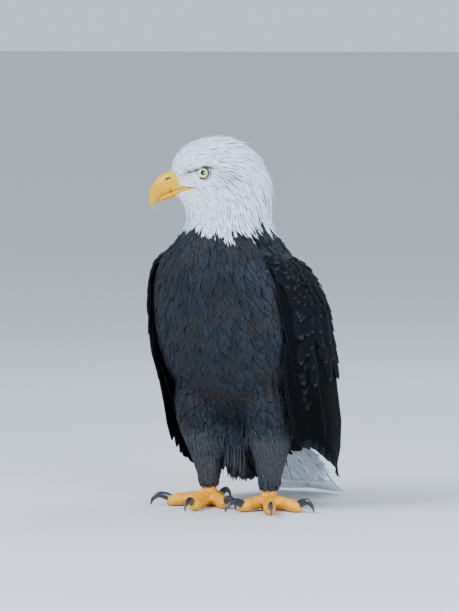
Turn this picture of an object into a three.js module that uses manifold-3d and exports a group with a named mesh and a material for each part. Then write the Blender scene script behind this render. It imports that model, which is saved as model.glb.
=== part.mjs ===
// A bald eagle standing at rest, life size, with its head turned to its right.
// Millimetres, +Z up. The body faces -Y and its left side is +X. The origin is on the floor, under the
// middle of the bird's outline.
//
// The plumage is modelled by its outer surface. Head, neck and trunk are one stack of level ovals, parted
// by thin cuts. Each folded wing is a curved shell on the sides of that stack, in three feather groups.

import * as THREE from "three";
import { mergeVertices } from "three/addons/utils/BufferGeometryUtils.js";
import Module from "manifold-3d";

const wasm = await Module();
wasm.setup();

// ---------------------------------------------------------------- driving dimensions, in millimetres

const GAP = 0.35; // clearance between pieces that meet
const DEGREE = Math.PI / 180;

const HEAD_TURN = 60 * DEGREE; // the head looks this far to the bird's right
const EYE_HEIGHT = 486;
const NECK_AXIS = new THREE.Vector2(0, -30); // where the neck's axis stands, in X and Y
const EYE_AHEAD = 37; // the eyes are this far ahead of the neck's axis
const EYE_RADIUS = 11.5;
const EYE_OUT = 17.5; // each eyeball's centre is this far from the head's middle plane
const BILL_ROOT = 37; // the bill starts this far ahead of the eyes, under the feathers

const JAW_CUT = 441; // height of the cut between head and neck
const SHOULDER_CUT = 396; // height of the cut between neck and trunk

const STANCE = 50; // each foot's middle is this far from the bird's middle plane
const SHIN_TOP = 33; // the leg feathers end at this height
const TOE_RADIUS = 9.8;

const COVERT_SHARE = 0.6; // the share of the folded wing's height that the coverts hide
const SECONDARY_SHARE = 0.86; // the share that coverts and secondaries hide over the wing tip
const TIP_START = 0.419; // the primaries show behind this share of the wing's width
const QUILL_TIPS = 4; // rounded tips along the lower edge of the coverts and of the secondaries

const TAIL_QUILLS = 12;

const SIDES = { left: 1, right: -1 }; // the sign of X on each side of the bird

// ---------------------------------------------------------------- materials

const finish = (color, roughness, metalness = 0) =>
  new THREE.MeshStandardMaterial({ color, roughness, metalness });

const WHITE_PLUMAGE = finish("#dde6ec", 0.8);
const DARK_PLUMAGE = finish("#2b2d33", 0.75);
const BILL_HORN = finish("#f4c61a", 0.4);
const FOOT_SKIN = finish("#f0a81c", 0.55);
const CLAW_HORN = finish("#22252a", 0.3);
const EYE_GLAZE = finish("#e6e6a0", 0.1);

// ---------------------------------------------------------------- solids

// A closed manifold-3d solid from a three.js geometry, whichever way its faces were wound.
function solidOf(geometry) {
  geometry.deleteAttribute("normal");
  geometry.deleteAttribute("uv");
  const merged = mergeVertices(geometry, 1e-3);
  const triVerts = new Uint32Array(merged.index.array);
  const make = () =>
    new wasm.Manifold(
      new wasm.Mesh({ numProp: 3, vertProperties: merged.attributes.position.array, triVerts }),
    );
  const made = make();
  if (made.volume() > 0) return made;
  for (let i = 0; i < triVerts.length; i += 3) {
    [triVerts[i + 1], triVerts[i + 2]] = [triVerts[i + 2], triVerts[i + 1]];
  }
  return make();
}

function geometryOf(solid) {
  const mesh = solid.getMesh();
  const points = new Float32Array(mesh.numVert * 3);
  for (let i = 0; i < mesh.numVert; i++) {
    const at = i * mesh.numProp;
    points.set(mesh.vertProperties.subarray(at, at + 3), i * 3);
  }
  const geometry = new THREE.BufferGeometry();
  geometry.setAttribute("position", new THREE.BufferAttribute(points, 3));
  geometry.setIndex(new THREE.BufferAttribute(mesh.triVerts, 1));
  geometry.computeVertexNormals();
  return geometry;
}

// Moves each vertex of a geometry to where the rule puts it.
function reshape(geometry, rule) {
  const position = geometry.getAttribute("position");
  for (let i = 0; i < position.count; i++) {
    const to = rule(new THREE.Vector3().fromBufferAttribute(position, i));
    position.setXYZ(i, to.x, to.y, to.z);
  }
  return solidOf(geometry);
}

// A closed form with flat ends. ring(t, angle) is a point of its wall, with t from 0 at one end to 1 at
// the other, and middle(t) is the centre of the ring there.
function loft(sides, steps, middle, ring) {
  return reshape(new THREE.CylinderGeometry(1, 1, 1, sides, steps), (p) => {
    const t = Math.round((0.5 - p.y) * steps) / steps;
    if (Math.hypot(p.x, p.z) < 0.5) return middle(t);
    const corner = Math.round((Math.atan2(p.x, p.z) / (2 * Math.PI)) * sides + sides) % sides;
    return ring(t, (corner / sides) * 2 * Math.PI);
  });
}

// A curved plate. outer(u, v) and inner(u, v) are its two faces, with u and v from 0 to 1.
function plate(across, down, outer, inner) {
  return reshape(new THREE.BoxGeometry(1, 1, 1, across, down, 1), (p) => {
    const u = Math.round((p.x + 0.5) * across) / across;
    const v = Math.round((0.5 - p.y) * down) / down;
    return p.z > 0 ? outer(u, v) : inner(u, v);
  });
}

// A smooth curve through named sizes: table is a list of objects with the same keys, and the answer at t
// is an object with those keys.
function blend(table, keys) {
  const curves = keys.map(
    (key) =>
      new THREE.CatmullRomCurve3(
        table.map((row, i) => new THREE.Vector3(i, row[key], 0)),
        false,
        "catmullrom",
        0.5,
      ),
  );
  return (t) => {
    const at = THREE.MathUtils.clamp(t, 0, 1);
    return Object.fromEntries(keys.map((key, i) => [key, curves[i].getPoint(at).y]));
  };
}

// A limb, toe, claw or bill: ovals square to a path, with half-sizes wide (sideways) and high.
function limb(path, sizes, sides, steps, grow = 0, flatten = (p) => p) {
  const curve = new THREE.CatmullRomCurve3(path, false, "catmullrom", 0.5);
  const size = blend(sizes, ["wide", "high"]);
  const heading = path.at(-1).clone().sub(path[0]);
  const side = new THREE.Vector3(-heading.y, heading.x, 0).normalize();
  const ring = (t, angle) => {
    const top = side.clone().cross(curve.getTangent(t)).normalize();
    const { wide, high } = size(t);
    const point = curve.getPoint(t);
    point.addScaledVector(side, (wide + grow) * Math.sin(angle));
    point.addScaledVector(top, (high + grow) * Math.cos(angle));
    return flatten(point);
  };
  return loft(sides, steps, (t) => flatten(curve.getPoint(t)), ring);
}

function ball(centre, halves) {
  const geometry = new THREE.SphereGeometry(1, 10, 6);
  geometry.scale(...halves);
  return geometry.translate(...centre);
}

function slab(low, high) {
  const reach = 1000;
  const geometry = new THREE.BoxGeometry(reach, reach, high - low);
  return solidOf(geometry.translate(0, 0, (low + high) / 2));
}

// ---------------------------------------------------------------- head, neck and trunk

// A point given in the head's own frame: ahead of the eyes, towards its left, and above the eyes.
function headPoint(ahead, left, above) {
  const forward = new THREE.Vector2(-Math.sin(HEAD_TURN), -Math.cos(HEAD_TURN));
  return new THREE.Vector3(
    NECK_AXIS.x + forward.x * (EYE_AHEAD + ahead) - forward.y * left,
    NECK_AXIS.y + forward.y * (EYE_AHEAD + ahead) + forward.x * left,
    EYE_HEIGHT + above,
  );
}

// Level ovals of the head and upper neck: height above the eyes, how far the middle is ahead of them, half
// the length, half the width, and how much narrower the front is than the back.
const HEAD_OVALS = [
  { above: 50.5, ahead: -22, long: 10, wide: 8, egg: 0 },
  { above: 47, ahead: -20, long: 30, wide: 19, egg: 0.15 },
  { above: 38, ahead: -18, long: 45, wide: 27, egg: 0.25 },
  { above: 24, ahead: -19, long: 61, wide: 32, egg: 0.35 },
  { above: 6, ahead: -21, long: 69, wide: 34, egg: 0.4 },
  { above: -14, ahead: -26, long: 72, wide: 37, egg: 0.42 },
  { above: -32, ahead: -30, long: 70, wide: 42, egg: 0.35 },
  { above: -50, ahead: -36, long: 63, wide: 47, egg: 0.15 },
  { above: -68, ahead: -37, long: 61, wide: 54, egg: 0.05 },
];

// The trunk's level ovals, from the base of the neck down to the vent.
const TRUNK_OVALS = [
  { z: 400, y: -32, long: 66, wide: 65 },
  { z: 377, y: -30, long: 79, wide: 88 },
  { z: 350, y: -24, long: 91, wide: 108 },
  { z: 305, y: -10, long: 99, wide: 122 },
  { z: 250, y: 4, long: 100, wide: 126 },
  { z: 200, y: 17, long: 93, wide: 118 },
  { z: 160, y: 30, long: 80, wide: 97 },
  { z: 122, y: 45, long: 62, wide: 68 },
  { z: 92, y: 58, long: 42, wide: 44 },
  { z: 74, y: 66, long: 18, wide: 20 },
];

const TRUNK_SQUARENESS = 2.25;

// One table for the whole stack, with each oval's middle in X and Y and its heading.
const STACK = [
  ...HEAD_OVALS.map((oval) => {
    const middle = headPoint(oval.ahead, 0, oval.above);
    const { x, y, z } = middle;
    return { x, y, z, long: oval.long, wide: oval.wide, egg: oval.egg, turn: HEAD_TURN, square: 2 };
  }),
  ...TRUNK_OVALS.map((oval, i) => ({
    x: 0,
    egg: 0,
    turn: i === 0 ? HEAD_TURN / 2 : 0,
    square: TRUNK_SQUARENESS,
    ...oval,
  })),
];

function stackSolid(sides, steps) {
  const oval = blend(STACK, ["x", "y", "z", "long", "wide", "egg", "turn", "square"]);
  const middle = (t) => {
    const { x, y, z } = oval(t);
    return new THREE.Vector3(x, y, z);
  };
  const ring = (t, angle) => {
    const o = oval(t);
    const power = 2 / o.square;
    const c = Math.cos(angle);
    const s = Math.sin(angle);
    const ahead = o.long * Math.sign(c) * Math.abs(c) ** power;
    const left = o.wide * Math.sign(s) * Math.abs(s) ** power * (1 - o.egg * c);
    return new THREE.Vector3(
      o.x - Math.sin(o.turn) * ahead + Math.cos(o.turn) * left,
      o.y - Math.cos(o.turn) * ahead - Math.sin(o.turn) * left,
      o.z,
    );
  };
  return loft(sides, steps, middle, ring);
}

// The fringe of feathers that hangs between the thighs.
const VENT = { centre: [0, 20, 102], halves: [38, 38, 52] };

function ventTuft() {
  return solidOf(ball(VENT.centre, VENT.halves));
}

// A ball given in the head's frame, with its long axis along the head.
function headBall(ahead, left, above, halves, pitch = 0) {
  const geometry = ball([0, 0, 0], [halves[1], halves[0], halves[2]]);
  geometry.rotateX(pitch);
  geometry.rotateZ(-HEAD_TURN);
  const at = headPoint(ahead, left, above);
  return solidOf(geometry.translate(at.x, at.y, at.z));
}

// The face between the eyes and the bill, the ridge that overhangs each eye, and the dish the eye sits in:
// how far ahead of the eyes, out to the side and above them, with half sizes along, across and up.
const FACE = { ahead: 14, out: 0, above: -10, halves: [32.5, 21.5, 27] };
const RIDGE = { ahead: 1, out: 15.5, above: 12.5, halves: [31, 14.5, 10], pitch: 6 * DEGREE };
const DISH = { ahead: 3, out: 32, above: -1.5, halves: [17, 8, 11.5] };

function addFace(head) {
  const shaped = (form, side) =>
    headBall(form.ahead, side * form.out, form.above, form.halves, form.pitch);
  const sides = Object.values(SIDES);
  const ridges = sides.map((side) => shaped(RIDGE, side));
  const dishes = sides.map((side) => shaped(DISH, side));
  return without([shaped(FACE, 1), ...ridges].reduce((whole, piece) => whole.add(piece), head), ...dishes);
}

function eyeball(side, grow = 0) {
  const at = headPoint(0, side * EYE_OUT, 0);
  const geometry = new THREE.SphereGeometry(EYE_RADIUS + grow, 12, 8);
  return solidOf(geometry.translate(at.x, at.y, at.z));
}

// Upper bill: the middle of each oval, ahead of the eyes and above them, with its half-sizes.
const UPPER_BILL = [
  { ahead: BILL_ROOT, above: -11.5, high: 15, wide: 13.5 },
  { ahead: 50, above: -14.8, high: 15, wide: 12.4 },
  { ahead: 61, above: -21.5, high: 12, wide: 10 },
  { ahead: 69, above: -32.5, high: 9, wide: 7.2 },
  { ahead: 73, above: -43, high: 4.3, wide: 4.2 },
  { ahead: 72.2, above: -49.5, high: 2.3, wide: 2.2 },
  { ahead: 70, above: -55, high: 0.7, wide: 0.7 },
];

const LOWER_BILL = [
  { ahead: BILL_ROOT, above: -29, high: 6, wide: 11.5 },
  { ahead: 49, above: -33.5, high: 5, wide: 9.5 },
  { ahead: 59, above: -38.5, high: 3.6, wide: 6.5 },
  { ahead: 65, above: -42, high: 1.2, wide: 2.6 },
];

function bill(table, grow = 0) {
  const path = table.map((row) => headPoint(row.ahead, 0, row.above));
  return limb(path, table, 10, 8, grow);
}

// ---------------------------------------------------------------- folded wings

// Level outlines of the two folded wings round the body: half the width, half the depth and the middle.
const WING_OUTLINES = [
  { z: 388, wide: 66, deep: 52, y: -50 },
  { z: 376, wide: 92, deep: 70, y: -46 },
  { z: 350, wide: 118, deep: 99, y: -27 },
  { z: 300, wide: 134, deep: 105, y: -4 },
  { z: 240, wide: 138, deep: 105, y: 9 },
  { z: 205, wide: 136, deep: 105, y: 21 },
  { z: 170, wide: 131, deep: 104, y: 35 },
  { z: 130, wide: 125, deep: 101, y: 48 },
  { z: 90, wide: 117, deep: 98, y: 60 },
  { z: 64, wide: 104, deep: 108, y: 74 },
  { z: 40, wide: 80, deep: 124, y: 94 },
];
const WING_SQUARENESS = 2.4;

// Where the wing's front and rear edges run round that outline, by height. 0 is the side, 90 the back.
const WING_EDGES = [
  { front: -20, rear: 40, z: 388 },
  { front: -23, rear: 62, z: 340 },
  { front: -25, rear: 72, z: 280 },
  { front: -29, rear: 78, z: 220 },
  { front: -29, rear: 80, z: 160 },
  { front: -31, rear: 80, z: 100 },
  { front: -31, rear: 66, z: 40 },
];

// The wing's lower edge, from its front corner to the tip and up to the innermost feathers at the back.
const WING_HEM = [{ z: 92 }, { z: 90 }, { z: 77 }, { z: 50 }, { z: 37 }, { z: 46 }, { z: 100 }, { z: 150 }];
const WING_TOP = 387;

// A function of height from a table whose rows run downwards.
function byHeight(table, keys) {
  return (z) => {
    const found = table.findIndex((row, at) => at > 0 && row.z <= z);
    const below = found < 0 ? table.length - 1 : found;
    const low = table[below];
    const high = table[below - 1];
    const share = THREE.MathUtils.clamp((high.z - z) / (high.z - low.z), 0, 1);
    return Object.fromEntries(keys.map((k) => [k, THREE.MathUtils.lerp(high[k], low[k], share)]));
  };
}

const wingOutline = byHeight(WING_OUTLINES, ["wide", "deep", "y"]);
const wingEdges = byHeight(WING_EDGES, ["front", "rear"]);
const wingHem = blend(WING_HEM, ["z"]);

// A point of the folded wing's surface: u from the front edge to the rear one, v from the top to the hem.
function wingPoint(side, u, v, inset) {
  const z = THREE.MathUtils.lerp(WING_TOP, wingHem(u).z, v);
  const { wide, deep, y } = wingOutline(z);
  const { front, rear } = wingEdges(z);
  const angle = THREE.MathUtils.lerp(front, rear, u) * DEGREE;
  const power = 2 / WING_SQUARENESS;
  const c = Math.cos(angle) ** power;
  const s = Math.sign(angle) * Math.abs(Math.sin(angle)) ** power;
  return new THREE.Vector3(side * (wide - inset) * c, y + (deep - inset) * s, z);
}

// How thick the folded wing is over its quills: full over the arm, thin at the edges and the hem.
const ARM_THICKNESS = 17;
const HEM_THICKNESS = 3;
const THINNING = 1.15; // the hem's thickness is reached at 1 / this of the wing's height
const EDGE_SHARE = 0.35; // the front and rear edges have this share of the thickness
const EDGE_SLOPE = 4; // how fast it grows from there

function wingThickness(u, v) {
  const edge = Math.min(1, EDGE_SHARE + EDGE_SLOPE * Math.min(u, 1 - u));
  return THREE.MathUtils.lerp(ARM_THICKNESS, HEM_THICKNESS, Math.min(1, v * THINNING)) * edge;
}

const SCALLOP = 0.022; // the depth of the rounded tips, as a share of the wing's height

// One feather group of a wing, over the stated shares of its width and height. The layer is how deep its
// face lies under the wing's surface. Its lower edge ends in rounded tips.
function wingGroup(side, [u0, u1], [v0, v1], tips, [across, down], layer, thickness) {
  const at = (u, v) => {
    const uu = THREE.MathUtils.lerp(u0, u1, u);
    const scallop = SCALLOP * (1 - Math.abs(Math.sin(u * tips * Math.PI)));
    return [uu, THREE.MathUtils.lerp(v0(uu), v1(uu) - scallop, v)];
  };
  const face = (u, v) => wingPoint(side, u, v, layer(u, v));
  const back = (u, v) => wingPoint(side, u, v, layer(u, v) + thickness(u, v));
  return plate(across, down, (u, v) => face(...at(u, v)), (u, v) => back(...at(u, v)));
}

const COVERT_GAP = 0.0016; // the cut between coverts and secondaries, as a share of the wing's height
const SUNK = 1.5; // the secondaries' faces lie this far under the coverts' faces
const PRIMARY_THICKNESS = 2.6;
const PRIMARY_DEPTH = 2; // the air between the secondaries and the primaries under them
const PRIMARY_TOP = 0.72; // the primaries start at this share of the height, under the secondaries
const PRIMARY_SPAN = [TIP_START, 0.904];
const PRIMARY_TIPS = 3;
const SECONDARY_SPAN = [0.015, 0.985];
const HEM_BOW = { depth: 0.1, lowest: 0.3 }; // the coverts' hem hangs lowest here, across the wing
const STEP_SLOPE = 8; // how steeply the secondaries' hem rises where the primaries start to show
const covertHem = (u) => COVERT_SHARE - HEM_BOW.depth * (u - HEM_BOW.lowest) ** 2;
const quillTop = (u) => covertHem(u) + COVERT_GAP;
const stepUp = (u) => Math.min(1, (u - TIP_START) * STEP_SLOPE);
const quillHem = (u) => (u < TIP_START ? 1 : 1 - (1 - SECONDARY_SHARE) * stepUp(u));
const primaryLayer = (u, v) => SUNK + wingThickness(u, v) + PRIMARY_DEPTH;

function wingPieces(side) {
  const steady = [0, 1, PRIMARY_TOP, SUNK, PRIMARY_THICKNESS].map((value) => () => value);
  const [top, end, tuck, sunk, thin] = steady;
  const tips = QUILL_TIPS;
  const secondaries = (thickness) =>
    wingGroup(side, SECONDARY_SPAN, [quillTop, quillHem], tips, [12, 4], sunk, thickness);
  const primaries = wingGroup(side, PRIMARY_SPAN, [tuck, end], PRIMARY_TIPS, [6, 4], primaryLayer, thin);
  const above = secondaries((u, v) => wingThickness(u, v) + GAP);
  return {
    coverts: wingGroup(side, [0, 1], [top, covertHem], tips, [12, 6], top, wingThickness),
    secondaries: secondaries(wingThickness),
    primaries: largest(primaries.subtract(above)),
  };
}

// All the room that a wing takes out of the body beside it, from its inner face outwards. One more cell
// at each edge makes the room a little larger than the wing.
const ROOM_ACROSS = 14;
const ROOM_DOWN = 11;
const ROOM_MARGIN = 0.01; // as a share of the wing's width and height
const ROOM_OUT = 25; // how far the room reaches outside the wing

function wingRoom(side) {
  const share = (cells, at, edges) => (cells * at - 1) / (cells - edges);
  const at = (u, v) => [
    THREE.MathUtils.clamp(share(ROOM_ACROSS, u, 2), -ROOM_MARGIN, 1 + ROOM_MARGIN),
    Math.max(-ROOM_MARGIN, share(ROOM_DOWN, v, 1)),
  ];
  return plate(
    ROOM_ACROSS,
    ROOM_DOWN,
    (u, v) => wingPoint(side, ...at(u, v), -ROOM_OUT),
    (u, v) => wingPoint(side, ...at(u, v), primaryLayer(...at(u, v)) + PRIMARY_THICKNESS + GAP),
  );
}

// ---------------------------------------------------------------- tail

// The tail's middle line, from under the rump to the floor, with half its width and its thickness.
const TAIL_LINE = [
  { y: 62, z: 150, wide: 27, thick: 40 },
  { y: 98, z: 116, wide: 36, thick: 34 },
  { y: 135, z: 80, wide: 46, thick: 21 },
  { y: 170, z: 44, wide: 56, thick: 9 },
  { y: 199, z: 13, wide: 64, thick: 4 },
  { y: 226, z: 1.5, wide: 66, thick: 2.4 },
];
const TAIL_CAMBER = 9; // the tail's sides hang this far below its middle, until the floor flattens it
const TAIL_ROUNDING = 0.07; // how much shorter the outer feathers are than the middle ones
const TAIL_SCALLOP = 0.02; // how far each feather's tip stands out of the hem, as a share of the length
const TAIL_EDGE = 0.75; // how much thinner the sides are than the middle
const TAIL_SQUARE = { back: 0.72, down: 0.7 }; // square to the sloping line
const TAIL_LAID = { from: 0.7, room: 1.2 }; // where the tail nears the floor, and the extra room cut there

function tailSolid(grow = 0) {
  const line = blend(TAIL_LINE, ["y", "z", "wide", "thick"]);
  const at = (u, v, drop) => {
    const across = 2 * u - 1;
    const rounded = 1 - TAIL_ROUNDING * across ** 2 - TAIL_SCALLOP;
    const quill = TAIL_SCALLOP * Math.abs(Math.sin(u * TAIL_QUILLS * Math.PI)) * v;
    const { y, z, wide, thick } = line(Math.min(1, v * (rounded + quill)));
    const sag = TAIL_CAMBER * across ** 2 * (1 - v);
    const back = drop * thick * (1 - TAIL_EDGE * across ** 4);
    const height = Math.max(0, z - sag - back * TAIL_SQUARE.down);
    return new THREE.Vector3(across * (wide + grow), y - back * TAIL_SQUARE.back, height);
  };
  const rootward = (v) => new THREE.Vector3(0, v > 0 ? 0 : -grow, v > 0 ? 0 : grow);
  const laid = (v) => (v > TAIL_LAID.from ? TAIL_LAID.room : 0);
  const lift = (v) => new THREE.Vector3(0, grow, grow + laid(v)).add(rootward(v));
  const sink = (v) => new THREE.Vector3(0, -grow, -grow).add(rootward(v));
  return plate(
    24,
    5,
    (u, v) => at(u, v, 0).add(lift(v)),
    (u, v) => at(u, v, 1).add(sink(v)),
  );
}

// ---------------------------------------------------------------- legs and feet

const THIGH_OVALS = [
  { z: 182, out: 58, y: 4, wide: 40, long: 54 },
  { z: 150, out: 59, y: -2, wide: 40, long: 52 },
  { z: 115, out: 57, y: -5, wide: 33, long: 42 },
  { z: 80, out: 53, y: -2, wide: 24, long: 30 },
  { z: 52, out: 50.5, y: 0, wide: 18, long: 21 },
  { z: SHIN_TOP + GAP, out: STANCE, y: 1, wide: 14, long: 15 },
];

function thigh(side, grow = 0) {
  const oval = blend(THIGH_OVALS, ["z", "out", "y", "wide", "long"]);
  return loft(
    14,
    6,
    (t) => new THREE.Vector3(side * oval(t).out, oval(t).y, oval(t).z),
    (t, angle) => {
      const { z, out, y, wide, long } = oval(t);
      const x = side * out + (wide + grow) * Math.sin(angle);
      return new THREE.Vector3(x, y + (long + grow) * Math.cos(angle), z);
    },
  );
}

// The bare shin and the pad of the foot, which stands on a small flat.
const SHIN_SIZES = [
  { z: SHIN_TOP, radius: 9.4 },
  { z: 25, radius: 11 },
  { z: 15, radius: 14.5 },
  { z: 6, radius: 14.5 },
  { z: 0, radius: 11 },
];

function shin(side, grow = 0) {
  const size = blend(SHIN_SIZES, ["z", "radius"]);
  const middle = (t) => new THREE.Vector3(side * STANCE, 0, Math.max(0, size(t).z));
  const ring = (t, angle) => {
    const out = new THREE.Vector3(Math.sin(angle), Math.cos(angle), 0);
    return middle(t).addScaledVector(out, size(t).radius + grow);
  };
  return loft(12, 5, middle, ring);
}

// Toes by name: heading in degrees from straight ahead towards the bird's left, for the left and the right
// foot, with the toe's length from the middle of the foot and its claw's length.
const TOES = {
  inner: { left: -20, right: 56, length: 56, claw: 33 },
  middle: { left: 30, right: 12, length: 76, claw: 30 },
  outer: { left: 76, right: -50, length: 62, claw: 27 },
  hind: { left: 203, right: 186, length: 42, claw: 38 },
};

// The toe's middle line from knuckle to tip: share of its length, height, and thickness as a share of the
// radius.
const TOE_PATH = [
  { share: 0.1, height: 13, size: 1 },
  { share: 0.35, height: 11.5, size: 0.95 },
  { share: 0.6, height: 10.5, size: 0.9 },
  { share: 0.8, height: 8, size: 0.98 },
  { share: 0.94, height: 7.6, size: 0.85 },
  { share: 1, height: 8, size: 0.6 },
];

// The claw's arch: share of its length past the toe's end, height, and half its height there.
const CLAW_PATH = [
  { share: -0.2, height: 9, high: 6 },
  { share: 0.12, height: 14.5, high: 5.8 },
  { share: 0.48, height: 16.5, high: 4.5 },
  { share: 0.76, height: 10.5, high: 2.8 },
  { share: 0.86, height: 1.8, high: 0.7 },
];
const CLAW_SLIMNESS = 0.75; // width over height

// A point of a toe, from how far it is along the toe and its height.
function toePoint(side, toe, along, height) {
  const heading = (side > 0 ? toe.left : toe.right) * DEGREE;
  return new THREE.Vector3(side * STANCE + Math.sin(heading) * along, -Math.cos(heading) * along, height);
}

function toeSolid(side, toe, grow = 0) {
  const sizes = TOE_PATH.map(({ size }) => ({ wide: size * TOE_RADIUS, high: size * TOE_RADIUS }));
  const path = TOE_PATH.map(({ share, height }) => toePoint(side, toe, share * toe.length, height));
  const flatten = (p) => p.setZ(Math.max(0, p.z));
  return limb(path, sizes, 8, 5, grow, flatten);
}

function clawSolid(side, toe) {
  const sizes = CLAW_PATH.map(({ high }) => ({ wide: high * CLAW_SLIMNESS, high }));
  const reach = (share) => toe.length + share * toe.claw;
  const path = CLAW_PATH.map(({ share, height }) => toePoint(side, toe, reach(share), height));
  return limb(path, sizes, 6, 5);
}

// ---------------------------------------------------------------- the bird

const eagle = new THREE.Group();

function add(name, solid, material) {
  const mesh = new THREE.Mesh(geometryOf(solid), material);
  mesh.name = name;
  eagle.add(mesh);
}

function without(solid, ...cutters) {
  return cutters.reduce((left, cutter) => left.subtract(cutter), solid);
}

// The largest piece of a solid that a cut has left in several.
function largest(solid) {
  return solid.decompose().sort((a, b) => b.volume() - a.volume())[0];
}

function buildHeadAndTrunk() {
  const stack = addFace(stackSolid(20, 27)).add(ventTuft());
  const bills = [bill(UPPER_BILL, GAP), bill(LOWER_BILL, GAP)];
  const sockets = [eyeball(1, GAP), eyeball(-1, GAP)];
  const head = stack.intersect(slab(JAW_CUT + GAP, 600));
  add("head", largest(without(head, ...bills, ...sockets)), WHITE_PLUMAGE);
  add("neck", stack.intersect(slab(SHOULDER_CUT + GAP, JAW_CUT)), WHITE_PLUMAGE);
  const trunk = stack.intersect(slab(0, SHOULDER_CUT));
  const beside = Object.values(SIDES).flatMap((side) => [wingRoom(side), thigh(side, GAP)]);
  add("trunk", largest(without(trunk, ...beside, tailSolid(GAP))), DARK_PLUMAGE);

  const upper = bill(UPPER_BILL);
  add("bill_upper", upper, BILL_HORN);
  add("bill_lower", largest(without(bill(LOWER_BILL), bill(UPPER_BILL, GAP))), BILL_HORN);
  for (const [name, side] of Object.entries(SIDES)) add("eye_" + name, eyeball(side), EYE_GLAZE);
}

buildHeadAndTrunk();
add("tail", tailSolid(), WHITE_PLUMAGE);
for (const [name, side] of Object.entries(SIDES)) {
  for (const [group, solid] of Object.entries(wingPieces(side))) {
    add(`wing_${name}_${group}`, largest(without(solid, thigh(side, GAP))), DARK_PLUMAGE);
  }
}

for (const [name, side] of Object.entries(SIDES)) {
  add("thigh_" + name, thigh(side), DARK_PLUMAGE);
  add("shin_" + name, shin(side), FOOT_SKIN);
  const taken = [shin(side, GAP)];
  for (const [toeName, toe] of Object.entries(TOES)) {
    add(`toe_${name}_${toeName}`, largest(without(toeSolid(side, toe), ...taken)), FOOT_SKIN);
    const claw = without(clawSolid(side, toe), toeSolid(side, toe, GAP));
    add(`claw_${name}_${toeName}`, largest(claw), CLAW_HORN);
    taken.push(toeSolid(side, toe, GAP));
  }
}

// The origin goes under the middle of the outline.
const outline = new THREE.Box3().setFromObject(eagle);
eagle.position.set(-(outline.min.x + outline.max.x) / 2, -(outline.min.y + outline.max.y) / 2, 0);

export default eagle;
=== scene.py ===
# %% [markdown]
# # A bald eagle, standing still
#
# The frame is a set of plain solids with the bird's true outline. This lesson dresses them: one skin that
# runs from the bill to the toes, a coat of modelled feathers over it, and bill, eyes and claws in horn and
# glaze. Lengths in the lesson are millimetres, and they turn into metres where a mesh is made.

# %% The frame, and the middles of its solids
import math

import bmesh
import bpy
import numpy as np
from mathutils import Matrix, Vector
from mathutils.bvhtree import BVHTree


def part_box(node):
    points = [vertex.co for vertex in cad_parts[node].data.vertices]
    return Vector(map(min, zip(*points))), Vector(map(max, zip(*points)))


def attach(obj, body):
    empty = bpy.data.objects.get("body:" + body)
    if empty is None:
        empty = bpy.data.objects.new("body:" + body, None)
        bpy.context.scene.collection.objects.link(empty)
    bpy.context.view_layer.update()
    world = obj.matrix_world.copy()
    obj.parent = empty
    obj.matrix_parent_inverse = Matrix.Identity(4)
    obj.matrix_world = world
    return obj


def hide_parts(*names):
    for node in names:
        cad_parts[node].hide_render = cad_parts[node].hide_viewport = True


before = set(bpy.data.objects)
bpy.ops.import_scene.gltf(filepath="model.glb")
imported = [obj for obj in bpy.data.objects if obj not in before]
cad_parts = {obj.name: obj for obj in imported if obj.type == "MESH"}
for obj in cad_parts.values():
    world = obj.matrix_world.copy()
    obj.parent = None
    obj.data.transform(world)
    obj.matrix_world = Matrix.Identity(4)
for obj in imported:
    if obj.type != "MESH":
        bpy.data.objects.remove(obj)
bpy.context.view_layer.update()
MM = 0.001
SIDES = {"left": 1, "right": -1}
chance = np.random.default_rng(7)


def middle(node):
    low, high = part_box(node)
    return np.array((low + high) / 2) / MM


STANCE_Y = middle("shin_left")[1]
print("the feet stand at y", round(STANCE_Y, 1), "mm")

# %% [markdown]
# ## Two rulers
#
# The head is turned to the bird's right, so a point on it is easier to give as so far ahead of the eyes, so
# far to the left of the head's middle plane and so far above the eyes. The eyes themselves give that ruler.
# The folded wings wrap the body like half a barrel, so a point on a wing is an angle round an upright axis
# and a height.

# %% The head's ruler
EYE = {side: middle(f"eye_{side}") for side in SIDES}
EYES = (EYE["left"] + EYE["right"]) / 2
LEFT = (EYE["left"] - EYE["right"]) / np.linalg.norm(EYE["left"] - EYE["right"])
UP = np.array((0.0, 0.0, 1.0))
AHEAD = np.cross(LEFT, UP)
EYE_RADIUS = 11.5


def head_point(ahead, left, above):
    return EYES + AHEAD * ahead + LEFT * left + UP * above


def on_head(points):
    """How far points are ahead, to the left and above, as three columns."""
    return (points - EYES) @ np.array((AHEAD, LEFT, UP)).T


def unit(vectors):
    return vectors / np.maximum(np.linalg.norm(vectors, axis=-1, keepdims=True), 1e-9)


def ease(values, start, end):
    """0 before start, 1 after end, and a smooth step between them."""
    share = np.clip((values - start) / (end - start), 0, 1)
    return share * share * (3 - 2 * share)


gap = np.linalg.norm(EYE["left"] - EYE["right"])
print("the eyes are", round(gap, 1), "mm apart and", round(EYES[2]), "mm up")

# %% [markdown]
# ## The outline under the feathers
#
# Plumage hides every seam between head, neck, body and legs. So the solids are melted into one closed form:
# each is grown a little, all are remeshed together in small cubes, and the result shrinks back by the same
# amount. A boolean union would also join them, but it keeps the thin cuts and creases between the solids.
# Only the shoulders of the wings join it, because the feathers of the flanks run on under the rest.

# %% One closed form of head, neck, body and thighs
GROWTH = 4.0
BODY_CUBE = 3.0
BODY = ("trunk", "neck", "head", "eye_left", "eye_right", "thigh_left", "thigh_right")
BILL_STUB = 43.0
TAIL_ROOT = 190.0
SHOULDER_FOOT = 325.0  # the wings join the body above this height


def placed(name, data):
    """A new object in the scene."""
    made = bpy.data.objects.new(name, data)
    bpy.context.collection.objects.link(made)
    return made


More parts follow.
